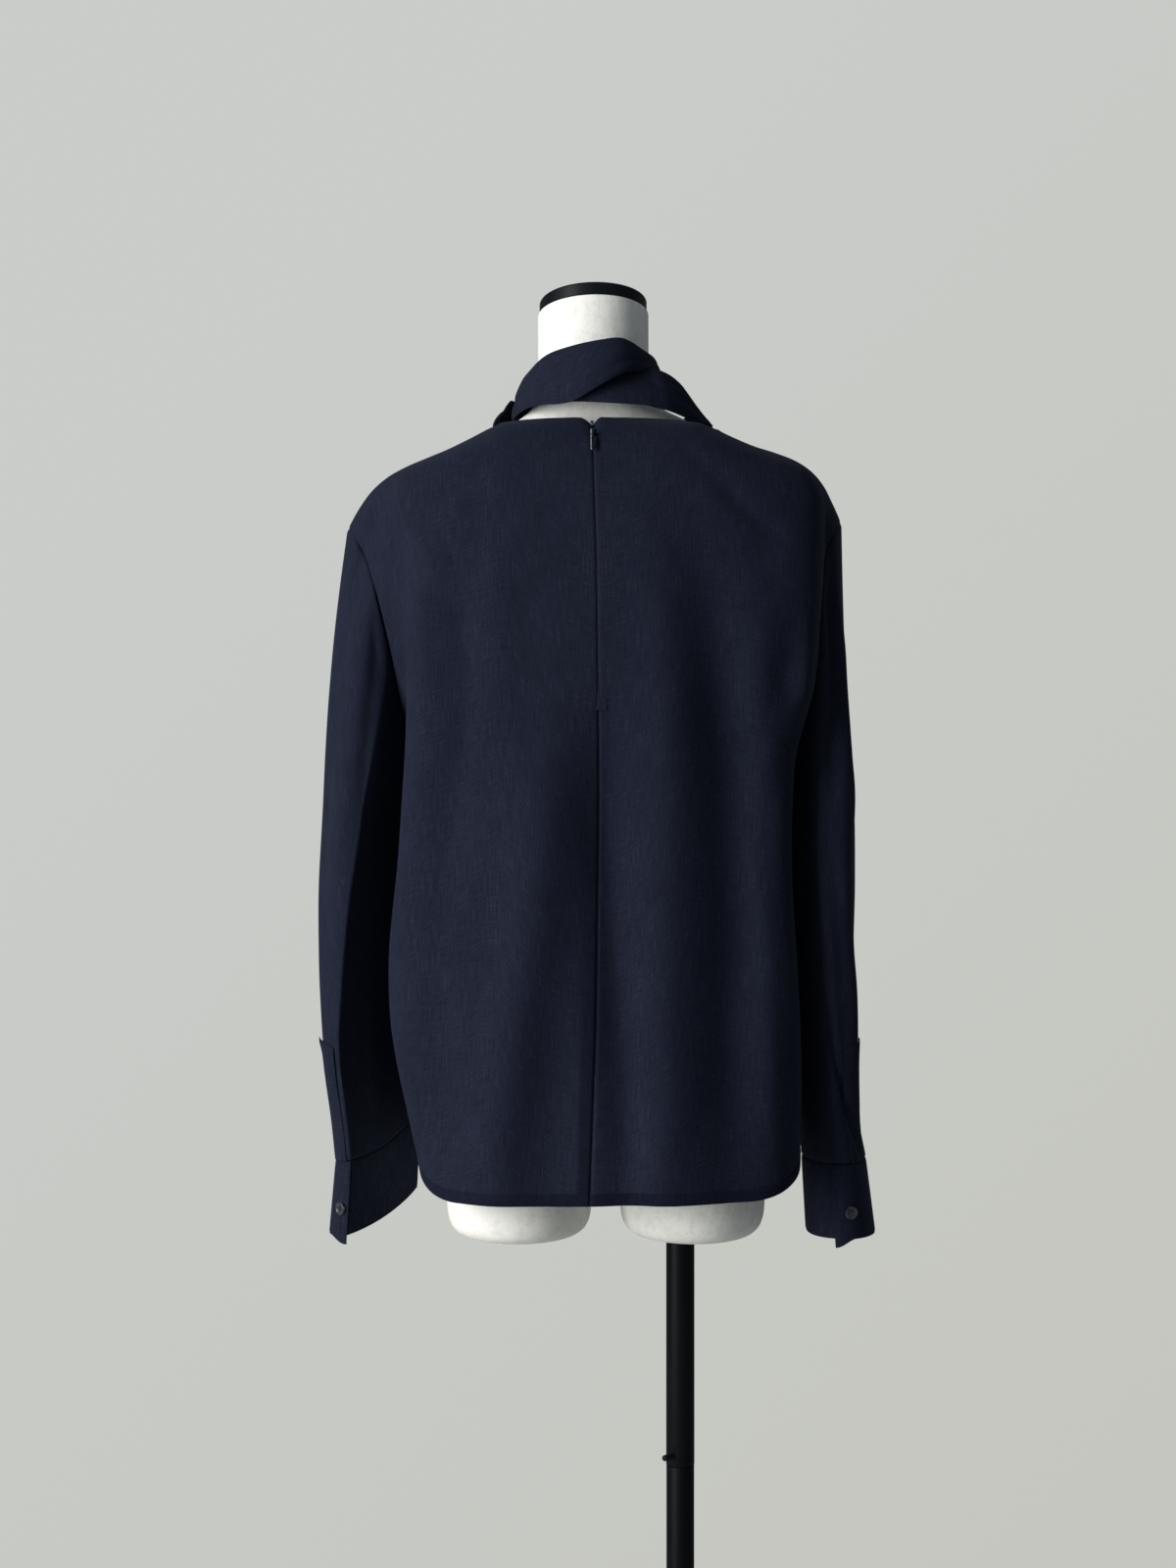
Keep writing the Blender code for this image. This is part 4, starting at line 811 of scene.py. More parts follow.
def hemLift(low):
    roundDepth, roundWidth = hem["edgeRound"]
    turned = hem["rise"] * (1 - ease((low - hem["stepFrom"]) / hem["stepOver"]))
    turned = turned - roundDepth * (1 - ease(low / roundWidth))
    return turned - hem["stitchDip"] * hill((low - hem["depth"]) / hem["stitchWidth"])


seamDip = {"depth": 1.1, "width": 1.3, "gap": 0.15}


def seamInto(run):
    return seamDip["depth"] * hill(run / seamDip["width"])


def drawBack(grid, edge, gap):
    if edge == "first":
        grid[:, 0] += unit(grid[:, 1] - grid[:, 0]) * gap
    elif edge == "last":
        grid[:, -1] += unit(grid[:, -2] - grid[:, -1]) * gap
    elif edge == "top":
        grid[0] += unit(grid[1] - grid[0]) * gap


zipNotch = {
    "left": {"width": 11.0, "depth": 7.4, "power": 1.7},
    "right": {"width": 6.5, "depth": 7.2, "power": 1.1},
    "fade": 30.0,
}


def cutNotch(grid, side):
    # the neckline's two corners fall away at the top of the zip
    shape = zipNotch[side]
    first, _, top, _ = runFromEdges(grid)
    fall = shape["depth"] * np.clip(1 - first[:1] / shape["width"], 0, 1) ** shape["power"]
    fade = np.clip(1 - top / zipNotch["fade"], 0, 1)
    made = grid.copy()
    made[:, :, 2] -= fall * fade
    return made


def panelGrids():
    coarse = {}
    for side in ("left", "right"):
        coarse["back_" + side] = wander(toSide(halfPanel(side, False), side))
        coarse["front_" + side] = toSide(halfPanel(side, True), side)
    return {name: finer(grid, blouse["rowSteps"], blouse["columnSteps"]) for name, grid in coarse.items()}


panels = panelGrids()
panelNormals = {name: outwardNormals(grid, bodyAxis) for name, grid in panels.items()}
armholeRows = underarmRow * blouse["rowSteps"]
neckColumns = blouse["neckColumn"] * blouse["columnSteps"]


creaseFade = {"side": 26.0, "top": 14.0, "topOver": 60.0}


def shapedPanel(name):
    # a half panel with its folds, which fade out towards the armhole, the side and the shoulder
    grid = panels[name]
    _, last, top, _ = runFromEdges(grid)
    creases = backCreases if name.startswith("back") else frontCreases
    keep = ease(last / creaseFade["side"]) * ease((top - creaseFade["top"]) / creaseFade["topOver"])
    return grid - panelNormals[name] * (creaseDepth(creases, grid[..., 0], grid[..., 2]) * keep)[..., None]


seamAllowance = {"under": 1.35, "steps": (10.5, 7.0, 3.5, 1.2, 0.3)}


def withAllowance(grid, normal):
    # the right panel runs on under the left one as its seam allowance
    inward = unit(grid[:, 1] - grid[:, 0])
    shallow = seamDip["depth"] - seamAllowance["under"]
    extra = [grid[:, 0] - inward * d + normal[:, 0] * shallow for d in seamAllowance["steps"]]
    extra = [np.concatenate([row[:-1], row[-2:-1] * 0.4 + row[-1:] * 0.6]) for row in extra]
    return np.concatenate([np.stack(extra, axis=1), grid], axis=1)


def paintedBacklightTone(grid, first, low, side):
    # painted backlight: near the hem, around the middle, one layer is painted a little lighter, as if light
    # from behind came through it, and the seam's two layers and the turned hem are painted darker
    single = ease((150.0 - low) / 110.0) * (1 - ease((np.abs(grid[..., 0] - 8.0) - 26.0) / 26.0))
    doubled = (first < 12.0) if side == "left" else (first < 1.0)
    turned = low < hem["depth"]
    tone = 0.05 * single
    return np.where(doubled | turned, -0.09 * ease((260.0 - low) / 160.0), tone)


def buildBack(side):
    name = "back_" + side
    grid = withHemRows(cutNotch(shapedPanel(name), side))
    first, last, top, low = runFromEdges(grid)
    normal = outwardNormals(grid, bodyAxis)
    shoulder = np.arange(grid.shape[1])[None, :] >= neckColumns
    into = seamInto(first) + seamInto(last) + seamInto(top) * shoulder
    grid = grid + normal * (hemLift(low) - into)[..., None]
    for edge in ("first", "last"):
        drawBack(grid, edge, seamDip["gap"])
    # painted backlight near the hem, kept in a point attribute
    tone = paintedBacklightTone(grid, first, low, side)
    start = 0
    if side == "right":
        start = len(seamAllowance["steps"])
        grid = withAllowance(grid, normal)
        tone = np.concatenate([np.repeat(tone[:, :1], start, axis=1), tone], axis=1)
    normal = outwardNormals(grid, bodyAxis)
    obj = clothPiece(name, grid, normal, blouse["wall"], clothLook, start=start, tone=tone)
    finishPiece(obj, "form", [name])
    return obj


def buildFront():
    left, right = shapedPanel("front_left"), shapedPanel("front_right")
    grid = withHemRows(np.concatenate([left[:, :0:-1], right], axis=1))
    middle = left.shape[1] - 1
    first, last, top, low = runFromEdges(grid)
    normal = outwardNormals(grid, bodyAxis)
    column = np.abs(np.arange(grid.shape[1]) - middle)[None, :]
    into = seamInto(first) + seamInto(last) + seamInto(top) * (column >= neckColumns)
    grid = grid + normal * (hemLift(low) - into)[..., None]
    for edge in ("first", "last"):
        drawBack(grid, edge, seamDip["gap"])
    normal = outwardNormals(grid, bodyAxis)
    obj = clothPiece("front", grid, normal, blouse["wall"], clothLook, start=middle)
    finishPiece(obj, "form", ["front"])
    return obj


backLeft = buildBack("left")
backRight = buildBack("right")
front = buildFront()
print("panels made")


# ---- sleeves

# rings below the armhole: z, outX, inX, backY, frontY, lift
sleeveRows = {
    "left": (
        (1130, 236.5, 164.5, -60, 66, 0),
        (1062, 239.5, 165, -61, 65, 0),
        (1000, 238.5, 165.5, -59, 62, 0),
        (931, 235.5, 164.5, -54, 57, 5),
        (895, 233, 161, -49, 53, 13),
        (860, 229, 157, -43, 47, 23),
        (824, 225.5, 154, -38, 42, 33),
    ),
    "right": (
        (1130, 228, 168.5, -60, 66, 0),
        (1062, 228.5, 169, -61, 66, 0),
        (1000, 227, 172, -61, 65, 0),
        (931, 228, 178, -59, 64, 0),
        (895, 229, 180.5, -56, 61, 0),
        (860, 231.5, 181, -51, 56, 0),
        (824, 238.5, 182.5, -46, 50, 0),
    ),
}
sleeve = {
    "liftCurve": 2.3,
    "headSteps": 5,
    "headBulge": {"left": 3.0, "right": -2.5},
    "ringSteps": 14,
    "placketFirst": {"left": 1, "right": 2},
    "placketRibs": 2,
    "placketRing": 3,
    "placketPoint": 8.0,
    "placketWall": 0.9,
    "placketRise": 0.25,
}

# along a sleeve: turn and z at the top, turn and z at the foot, halfWidth in degrees, depth in mm.
# A turn of 0 is the outer side and 90 the back.
sleeveCreases = {
    "left": (
        (36, 1330, 30, 1030, 15, 2.6),
        (66, 1330, 60, 1040, 17, -1.8),
        (94, 1320, 100, 1120, 15, 3),
        (20, 1080, 30, 880, 13, -1.6),
        (112, 1150, 96, 800, 13, -1.6),
        (140, 1160, 126, 800, 12, 2),
        (250, 1290, 240, 900, 18, 2.8),
        (292, 1260, 300, 860, 15, -2.2),
        (330, 1200, 322, 880, 12, 1.8),
    ),
    "right": (
        (60, 1330, 78, 1150, 12, 5),
        (36, 1300, 52, 1120, 11, -3.6),
        (62, 1290, 58, 890, 22, -6.5),
        (98, 1290, 106, 1060, 15, -3.4),
        (128, 1200, 134, 900, 16, 2.6),
        (78, 1090, 60, 860, 12, 3.4),
        (54, 1010, 34, 850, 10, -2.6),
        (100, 960, 48, 836, 9, 4.2),
        (252, 1290, 238, 900, 18, 2.8),
        (290, 1250, 302, 870, 15, -2.4),
        (332, 1180, 320, 860, 12, 1.8),
    ),
}


def lifted(lift, turn):
    return lift * ((1.0 - np.cos(turn)) / 2) ** sleeve["liftCurve"]


def sleeveRing(row, turns):
    z, outX, inX, backY, frontY, lift = row
    depth = np.where(turns <= math.pi, -backY, frontY)
    x = (outX + inX) / 2 + (outX - inX) / 2 * np.cos(turns)
    return np.stack([x, -depth * np.sin(turns), z + lifted(lift, turns)], axis=1)


def sleeveGrid(side):
    back, frontHalf = toSide(panels["back_" + side], side), toSide(panels["front_" + side], side)
    armhole = np.vstack([back[: armholeRows + 1, -1], frontHalf[armholeRows - 1 : 0 : -1, -1]])
    turns = np.linspace(0.0, 2 * math.pi, len(armhole), endpoint=False)
    rings = [sleeveRing(row, turns) for row in sleeveRows[side]]
    outward = unit((rings[0] - rings[0].mean(axis=0)) * np.array([1.0, 1.0, 0.0]))
    head = []
    for k in range(sleeve["headSteps"]):
        t = k / sleeve["headSteps"]
        along = t + 0.06 * math.sin(math.pi * t)
        ring = armhole + (rings[0] - armhole) * np.array([along, along, t])
        bulge = sleeve["headBulge"][side] * math.sin(math.pi * t) * (0.5 + 0.5 * outward[:, :1])
        head.append(ring + outward * bulge)
    return through(np.array(head + rings), sleeve["ringSteps"]), turns


# the left sleeve is flat behind its outer edge, then falls away from the light to its inner edge:
# z, the turn in degrees where that starts, how much of it shows, and how far the inner edge moves forward
turnedAway = (
    (770, 56, 1, 24),
    (825, 56, 1, 24),
    (931, 58, 1, 16),
    (1056, 82, 0.95, 0),
    (1112, 94, 0.75, 0),
    (1250, 118, 0, 0),
)


def squared(turns):
    return np.where(np.cos(turns) > 0, np.clip(np.abs(np.sin(turns)), 0.03, 1.0) ** -0.42, 1.0)


def turnAway(turns, y, z, deep):
    # deep is how far back the round ring reaches
    rows = table(turnedAway, ("z", "start", "share", "forward"))
    start, share, forward = (np.interp(z, rows["z"], rows[name]) for name in ("start", "share", "forward"))
    start = np.radians(start)
    behind = np.sin(turns) >= 0
    flat = -deep * np.sin(turns) * squared(turns)
    edge = -deep * np.sin(start) * squared(start)
    across = np.clip((np.cos(start) - np.cos(turns)) / (np.cos(start) + 1.0), 0.0, 1.0)
    falling = edge + (forward - edge) * across
    moved = np.where(across > 0, falling, flat) + deep * np.sin(turns)
    return y + share * np.where(behind, moved, forward * ((1.0 - np.cos(turns)) / 2) ** 2)


def foldedSleeve(side):
    grid, turns = sleeveGrid(side)
    if side == "left":
        deep = -grid[..., 1].min(axis=1, keepdims=True)
        grid[..., 1] = turnAway(turns[None, :], grid[..., 1], grid[..., 2], deep)
    normal = outwardNormals(grid, grid[-1].mean(axis=0), wraps=True)
    degrees = np.degrees(turns)[None, :]
    top = runFromEdges(grid)[2]
    depth = np.zeros(grid.shape[:2])
    for topTurn, topZ, footTurn, footZ, halfWidth, deep in sleeveCreases[side]:
        along = (topZ - grid[..., 2]) / (topZ - footZ)
        reach = ease((along + 0.15) / 0.4) * ease((1.2 - along) / 0.4)
        middle = topTurn + (footTurn - topTurn) * along + 2.5 * np.sin(along * 6.0 + topTurn)
        away = (degrees - middle + 180.0) % 360.0 - 180.0
        depth += deep * reach * hill(away / halfWidth)
    grid = grid - normal * (depth * ease((top - 6.0) / 30.0))[..., None]
    return toSide(grid, side)


def buildSleeve(side):
    grid = foldedSleeve(side)
    middle = grid[-1].mean(axis=0)
    normal = outwardNormals(grid, middle, wraps=True)
    top, low = runFromEdges(grid)[2:]
    into = seamInto(top) + seamInto(low)
    shaped = grid - normal * into[..., None]
    drawBack(shaped, "top", seamDip["gap"])
    shapedNormals = outwardNormals(shaped, middle, wraps=True)
    obj = clothPiece("sleeve_" + side, shaped, shapedNormals, blouse["wall"], clothLook, wraps=True)
    finishPiece(obj, "form", ["sleeve_" + side])
    return grid, normal


def buildPlacket(side, grid, normal):
    first = sleeve["placketFirst"][side] * blouse["rowSteps"]
    ribs = slice(first, first + sleeve["placketRibs"] * blouse["rowSteps"] + 1)
    top = (sleeve["headSteps"] + sleeve["placketRing"]) * sleeve["ringSteps"]
    lying = grid[top:, ribs].copy()
    out = normal[top:, ribs]
    share = np.linspace(0.0, 1.0, lying.shape[1])[None, :]
    run = runFromEdges(lying)
    slope = sleeve["placketPoint"] * share * np.clip(1 - run[2] / 60.0, 0, 1)
    lying[..., 2] -= slope
    rounded = 0.35 * sum(hill(run[k] / 0.8) for k in (0, 1, 2))
    stitch = 0.3 * (hill((run[0] - 2.2) / 0.6) + hill((run[1] - 2.2) / 0.6))
    corner = 2.6 * np.exp(-((run[0] / 7.0) ** 2) - (run[2] / 9.0) ** 2)
    rise = sleeve["placketRise"] + sleeve["placketWall"] - rounded - stitch + corner
    shaped = lying + out * rise[..., None]
    obj = clothPiece("placket_" + side, shaped, out, sleeve["placketWall"], clothLook)
    finishPiece(obj, "form", ["placket_" + side])


for side in ("left", "right"):
    sleeveSurface, sleeveNormals = buildSleeve(side)
    buildPlacket(side, sleeveSurface, sleeveNormals)
print("sleeves made")


# ---- cuffs and buttons

cuff = {
    "wall": 1.5,
    "top": 823.1,
    "depth": 64.0,
    "flare": {"left": (5.0, 2.0), "right": (7.5, 3.0)},
    "end": {"left": 56.0, "right": 106.0},
    "lap": 40.0,
    "point": 7.5,
    "tuck": 2.45,
    "joinOver": 30.0,
    "columns": 156,
    "rows": 26,
}
button = {
    "radius": 5.6,
    "thickness": 2.2,
    "rim": 0.20,
    "rimSlope": 0.10,
    "sunk": 0.32,
    "round": 0.35,
    "z": 782.0,
    "fromEnd": {"left": 13.0, "right": 30.0},
    "hole": 0.75,
    "spread": 1.25,
    "stitch": 0.32,
    "stitchLength": 3.6,
    "stitchUp": 0.80,
}


def cuffPlace(side, low, turn):
    # the middle, half width and depth of a cuff's ring at a share of its height
    _, outX, inX, backY, frontY, lift = sleeveRows[side][-1]
    flareOut, flareIn = cuff["flare"][side]
    half = (outX - inX) / 2 + (flareOut - flareIn) / 2 * low
    middle = (outX + inX) / 2 + (flareOut + flareIn) / 2 * low
    depth = np.where(np.sin(turn) > 0, -backY, frontY)
    return middle, half, depth, lifted(lift, turn)


def toSleeveFoot(side, turn):
    # how far the sleeve's foot, with its creases, lies from the cuff's round top
    foot = toSide(foldedSleeve(side), side)[-1]
    foot = np.vstack([foot, foot[:1]])
    around = np.linspace(0.0, 2 * math.pi, len(foot))
    middle, half, depth, lift = cuffPlace(side, 0.0, turn)
    x, y = middle + half * np.cos(turn), -depth * np.sin(turn)
    if side == "left":
        y = turnAway(turn, y, cuff["top"] + lift, -sleeveRows[side][-1][3])
    turn = np.mod(turn, 2 * math.pi)
    return np.interp(turn, around, foot[:, 0]) - x, np.interp(turn, around, foot[:, 1]) - y


def buildCuff(side):
    sign = -1 if side == "left" else 1
    share = np.linspace(0.0, 1.0, cuff["columns"] + 1)
    turn = np.radians(cuff["end"][side] - (360.0 + cuff["lap"]) * share)
    tuck = cuff["tuck"] * ease((share - 0.78) / 0.12)
    joinX, joinY = toSleeveFoot(side, turn)
    point = cuff["point"] * (1 - ease(share / 0.09))
    rows = []
    for low in np.linspace(0.0, 1.0, cuff["rows"] + 1):
        middle, half, depth, lift = cuffPlace(side, low, turn)
        wave = 0.7 * np.sin(turn * 3 + 1.0) * low * ease(share / 0.1)
        x = middle + (half - tuck + wave) * np.cos(turn)
        y = -(depth - tuck + wave) * np.sin(turn)
        if side == "left":
            y = turnAway(turn, y, cuff["top"] + lift - cuff["depth"] * low, -sleeveRows[side][-1][3])
        z = cuff["top"] + lift - cuff["depth"] * low - point * low
        join = 1 - ease(low * cuff["depth"] / cuff["joinOver"])
        rows.append(np.stack([sign * (x + joinX * join), y + joinY * join, z], axis=1))
    grid = np.array(rows)
    middleX = sign * (sleeveRows[side][-1][1] + sleeveRows[side][-1][2]) / 2
    normal = outwardNormals(grid, (middleX, 0.0, 0.0))
    run = runFromEdges(grid)
    rounded = 0.5 * sum(hill(run[k] / 1.0) for k in (0, 1, 2, 3))
    stitch = 0.25 * sum(hill((run[k] - 4.0) / 0.7) for k in (0, 2, 3))
    shaped = grid - normal * (rounded + stitch)[..., None]
    shapedNormals = outwardNormals(shaped, (middleX, 0.0, 0.0))
    obj = clothPiece("cuff_" + side, shaped, shapedNormals, cuff["wall"], clothLook)
    finishPiece(obj, "form", ["cuff_" + side])


def modelButton():
    # a four-hole button lying in the XY plane, its face up
    deselectAll()
    radius, thickness, spread = button["radius"] * mm, button["thickness"] * mm, button["spread"]
    middle = (0.0, 0.0, thickness / 2)
    bpy.ops.mesh.primitive_cylinder_add(vertices=64, radius=radius, depth=thickness, location=middle)
    obj = bpy.context.object
    pickFaces(obj, lambda normal: normal.z > 0.9)
    bpy.ops.mesh.inset(thickness=radius * button["rim"])
    bpy.ops.mesh.inset(thickness=radius * button["rimSlope"])
    bpy.ops.transform.translate(value=(0.0, 0.0, -thickness * button["sunk"]))
    bpy.ops.object.mode_set(mode="OBJECT")
    applyModifier(obj, "BEVEL", width=button["round"] * mm, segments=3, limit_method="ANGLE")
    for across, up in ((1, 1), (1, -1), (-1, 1), (-1, -1)):
        drill = addRod(button["hole"], 20.0, (across * spread, up * spread, 0.0), sides=16)
        combine(obj, drill, "DIFFERENCE")
    smoothEdges(obj)
    obj.data.materials.append(buttonLook)
    return obj


def modelButtonThread():
    # two crossed stitches through the holes
    bars = []
    for turn in (45.0, -45.0):
        up = button["thickness"] * button["stitchUp"]
        bar = addRod(button["stitch"], button["stitchLength"], (0.0, 0.0, up), "Y", 10)
        bpy.ops.transform.rotate(value=math.radians(turn), orient_axis="Z", center_override=(0.0, 0.0, 0.0))
        bars.append(bar)
    obj = joinAll(bars)
    bpy.ops.object.transform_apply(location=True, rotation=True, scale=True)
    bpy.ops.object.shade_smooth()
    obj.data.materials.append(threadLook)
    return obj


def placeOnCuff(obj, side):
    sign = -1 if side == "left" else 1
    low = (cuff["top"] - button["z"]) / cuff["depth"]
    turn = math.radians(cuff["end"][side] - button["fromEnd"][side])
    middle, half, depth, _ = cuffPlace(side, low, np.array(turn))
    y = -float(depth) * math.sin(turn)
    if side == "left":
        y = float(turnAway(np.array(turn), y, button["z"], float(depth)))
    place = Vector((sign * (middle + half * math.cos(turn)), y, button["z"]))
    facing = Vector((sign * math.cos(turn) / half, -math.sin(turn) / float(depth), 0.0)).normalized()
    aim = Vector((0.0, 0.0, 1.0)).rotation_difference(facing).to_matrix().to_4x4()
    lift = Matrix.Translation((place + facing * 0.35) * mm)
    obj.data.transform(lift @ aim)


buttonModel = modelButton()
buttonThread = modelButtonThread()
buttons = {"left": (buttonModel, buttonThread), "right": (copyOf(buttonModel), copyOf(buttonThread))}
for side, (face, sewn) in buttons.items():
    buildCuff(side)
    face.name = "button_face_" + side
    sewn.name = "button_thread_" + side
    placeOnCuff(face, side)
    placeOnCuff(sewn, side)
    finishPiece(face, "form", ["button_" + side])
    finishPiece(sewn, "form")
print("cuffs and buttons made")


# ---- tie

tie = {"wall": 1.6, "bulge": 3.0, "stations": 12, "section": 16}

# bands round the neck, as their low edge: x, y, lowZ, highZ, lean of the top to the neck
tieOuter = (
    (-12, 72, 1436, 1458, 3),
    (-33, 58, 1449, 1474, 4),
    (-52, 32, 1464, 1490, 4),
    (-71.5, -2, 1467.5, 1501, 9.5),
    (-61.5, -36, 1472, 1509, 8),
    (-46, -66, 1471.5, 1517, 11),
    (-20, -84, 1471.5, 1522, 13),
    (6, -88, 1485.5, 1526, 13),
    (28, -80, 1497, 1528.5, 11),
    (46, -58, 1501.6, 1523, 8),
    (56.5, -22, 1508, 1518.5, 4),
    (57, 12, 1492, 1506, 4),
    (46, 44, 1466, 1486, 4),
    (14, 72, 1436, 1458, 3),
)
tieInner = (
    (102, -13.5, 1460.6, 1464, 2),
    (97, -30, 1460.6, 1475, 8),
    (84, -50, 1461.5, 1496, 13),
    (66, -66, 1466, 1503.4, 13),
    (54, -72.5, 1468, 1505.2, 17),
    (42, -77, 1470, 1504, 18.5),
    (14, -81.5, 1471, 1506, 15),
    (-14, -78.5, 1472.5, 1504, 11),
    (-38, -64, 1473.5, 1503, 9),
    (-53, -42, 1474, 1499, 6),
)

# creases along a band: station and height share at each end, halfWidth in mm, depth in mm
tieCreases = {
    "outer": (
        (0.26, 0.30, 0.60, 0.78, 3.5, 1.3),
        (0.30, 0.62, 0.52, 0.90, 3, 1),
        (0.50, 0.22, 0.80, 0.50, 3, 1.1),
        (0.02, 0.50, 0.28, 0.42, 3.5, 1.5),
        (0.74, 0.60, 0.98, 0.45, 3, 1.4),
    ),
    "inner": (
        (0.06, 0.30, 0.50, 0.62, 3.5, 1.4),
        (0.16, 0.66, 0.44, 0.84, 2.6, 0.9),
    ),
    "front": (
        (0.10, 0.55, 0.42, 0.35, 4, 1.4),
        (0.55, 0.40, 0.92, 0.62, 4, 1.4),
    ),
}


def bandGrid(rows, steps, creases):
    low, high = [], []
    for x, y, lowZ, highZ, lean in rows:
        toward = np.array([-x, -y, 0.0]) / math.hypot(x, y)
        low.append((x, y, lowZ))
        high.append(np.array([x, y, highZ]) + toward * lean)
    low, high = through(low, steps), through(high, steps)
    rise = np.linspace(0.0, 1.0, tie["section"] + 1)[:, None, None]
    grid = low[None] + (high - low)[None] * rise
    outward = unit(grid * np.array([1.0, 1.0, 0.0]))
    grid = grid + outward * tie["bulge"] * np.sin(math.pi * rise) ** 0.8
    return creased(grid, creases)


def creased(grid, creases):
    normal = outwardNormals(grid, bodyAxis)
    rise = np.linspace(0.0, 1.0, grid.shape[0])[:, None]
    along = np.linspace(0.0, 1.0, grid.shape[1])[None, :]
    height = np.linalg.norm(grid[-1] - grid[0], axis=1)[None, :]
    depth = np.zeros(grid.shape[:2])
    for start, startRise, end, endRise, halfWidth, deep in creases:
        share = (along - start) / (end - start)
        reach = ease((share + 0.1) / 0.35) * ease((1.1 - share) / 0.35)
        line = startRise + (endRise - startRise) * share
        depth += deep * reach * hill((rise - line) * height / halfWidth)
    edge = np.minimum(rise, 1 - rise) * height
    depth += 0.7 * hill(edge / 1.2)
    return grid - normal * depth[..., None]


def buildBand(name, rows, steps, creases):
    grid = bandGrid(rows, steps, creases)
    normal = outwardNormals(grid, bodyAxis)
    obj = clothPiece(name, grid, normal, tie["wall"], clothLook)
    finishPiece(obj, "form", [name])


# the front neckline's band, from the centre out: leftHeight, leftLean, rightHeight, rightLean
frontBand = (
    (42, 6, 42, 6),
    (42, 6, 42, 6),
    (44, 8, 44, 9),
    (58, 8, 42, 14),
    (15, 9, 13, 12),
)


def buildFrontBand():
    sizes = table(frontBand, ("leftHeight", "leftLean", "rightHeight", "rightLean"))
    halves = {}
    for side in ("left", "right"):
        line = panels["front_" + side][0, : neckColumns + 1 : blouse["columnSteps"]]
        halves[side] = [
            (x, y, z - 0.5, z + 1.4 + sizes[side + "Height"][i], sizes[side + "Lean"][i])
            for i, (x, y, z) in enumerate(line)
        ]
    rows = halves["left"][:0:-1] + halves["right"]
    steps = blouse["columnSteps"] * 2
    buildBand("tie_band_front", rows, steps, tieCreases["front"])


for name, rows, flat, area in (
    ("outer", tieOuter, (0.37, 0.055), 0.0165),
    ("inner", tieInner, (0.20, 0.055), 0.0075),
):
    buildBand("tie_wrap_" + name, rows, tie["stations"], tieCreases[name])
buildFrontBand()

knot = {
    "centre": (1.0, 82.0, 1442.0),
    "radii": (19.0, 10.0, 17.0),
    "rings": 60,
    "sides": 96,
    # turn, its change from the middle to the top, half width, depth, more depth at the ends
    "folds": ((62.0, 20.0, 9.0, 0.10, 1), (104.0, 12.0, 8.0, 0.12, 1), (138.0, -14.0, 8.0, 0.08, 0)),
}


def buildKnot():
    # a loop of the band drawn tight: soft folds run down over it and gather at both ends
    grid = []
    for level in np.linspace(-0.985, 0.985, knot["rings"] + 1):
        turns = np.linspace(0.0, 2 * math.pi, knot["sides"], endpoint=False)
        width = math.sqrt(1 - level * level) ** 0.75
        across = np.sign(np.cos(turns)) * np.abs(np.cos(turns)) ** 0.8
        deep = np.sign(np.sin(turns)) * np.abs(np.sin(turns)) ** 0.8
        folds = 1.0
        for turn, drift, halfWidth, depth, gathered in knot["folds"]:
            more = 0.4 + abs(level) if gathered else 1.0
            folds = folds - depth * more * hill((np.degrees(turns) - turn - drift * level) / halfWidth)
        ring = np.stack([across * width * folds, deep * width * folds, np.full_like(turns, level)], axis=1)
        grid.append(ring * np.array(knot["radii"]) + np.array(knot["centre"]))
    grid = np.array(grid)
    normal = outwardNormals(grid, knot["centre"], wraps=True)
    obj = clothPiece("tie_knot", grid, normal, tie["wall"], clothLook, wraps=True)
    finishPiece(obj, "form", ["tie_knot"])


# the hanging ends: z, centreX, width
tails = {
    "left": (
        (1425, -11, 17),
        (1390, -24, 42),
        (1300, -38, 56),
        (1200, -46, 60),
        (1098, -50, 62),
    ),
    "right": (
        (1425, 13, 17),
        (1390, 25, 42),
        (1300, 36, 56),
        (1180, 41, 60),
        (1058, 43, 62),
    ),
}
tail = {"clear": 4.2, "restZ": 1370.0, "rows": 110, "columns": 36, "pleat": 3.2, "pleats": 2.5}


def frontSurface(x, z):
    half = panels["front_left" if x < 0 else "front_right"]
    roll = (len(blouse["centreSpacing"]) - 1) * blouse["columnSteps"]
    near = np.abs(half[:, :roll, 0])
    column = int(np.argmin(np.abs(near[len(near) // 2] - abs(x))))
    line = half[:, column]
    return float(np.interp(z, line[::-1, 2], line[::-1, 1]))


def buildTail(side):
    rows = atFractions(through(np.array(tails[side]), 8), np.linspace(0.0, 1.0, tail["rows"] + 1))
    topZ = tails[side][0][0]
    grid = []
    for z, centreX, width in rows:
        fromTop = (topZ - z) / (topZ - tails[side][-1][0])
        pleat = tail["pleat"] * math.exp(-((fromTop * 2.6) ** 2)) + 0.6
        row = []
        for across in np.linspace(-0.5, 0.5, tail["columns"] + 1):
            x = centreX + width * across
            wave = pleat * math.cos(across * 2 * math.pi * tail["pleats"] + (0.5 if side == "left" else 2.0))
            rest = frontSurface(x, min(z, tail["restZ"])) + tail["clear"] + 2.0 * math.cos(across * 5.0)
            up = float(ease((z - tail["restZ"]) / (topZ - tail["restZ"])))
            row.append((x, rest + (knot["centre"][1] - rest) * up + max(wave, -2.5) + 1.2, z))
        grid.append(row)
    grid = np.array(grid)
    normal = gridNormals(grid)
    if normal[..., 1].sum() < 0:
        normal = -normal
    run = runFromEdges(grid)
    rounded = 0.6 * sum(hill(run[k] / 1.2) for k in (0, 1, 3))
    grid = grid - normal * rounded[..., None]
    obj = clothPiece("tie_tail_" + side, grid, normal, tie["wall"], clothLook)
    finishPiece(obj, "form", ["tie_tail_" + side])


buildKnot()
buildTail("left")
buildTail("right")
print("tie made")


# ---- zip

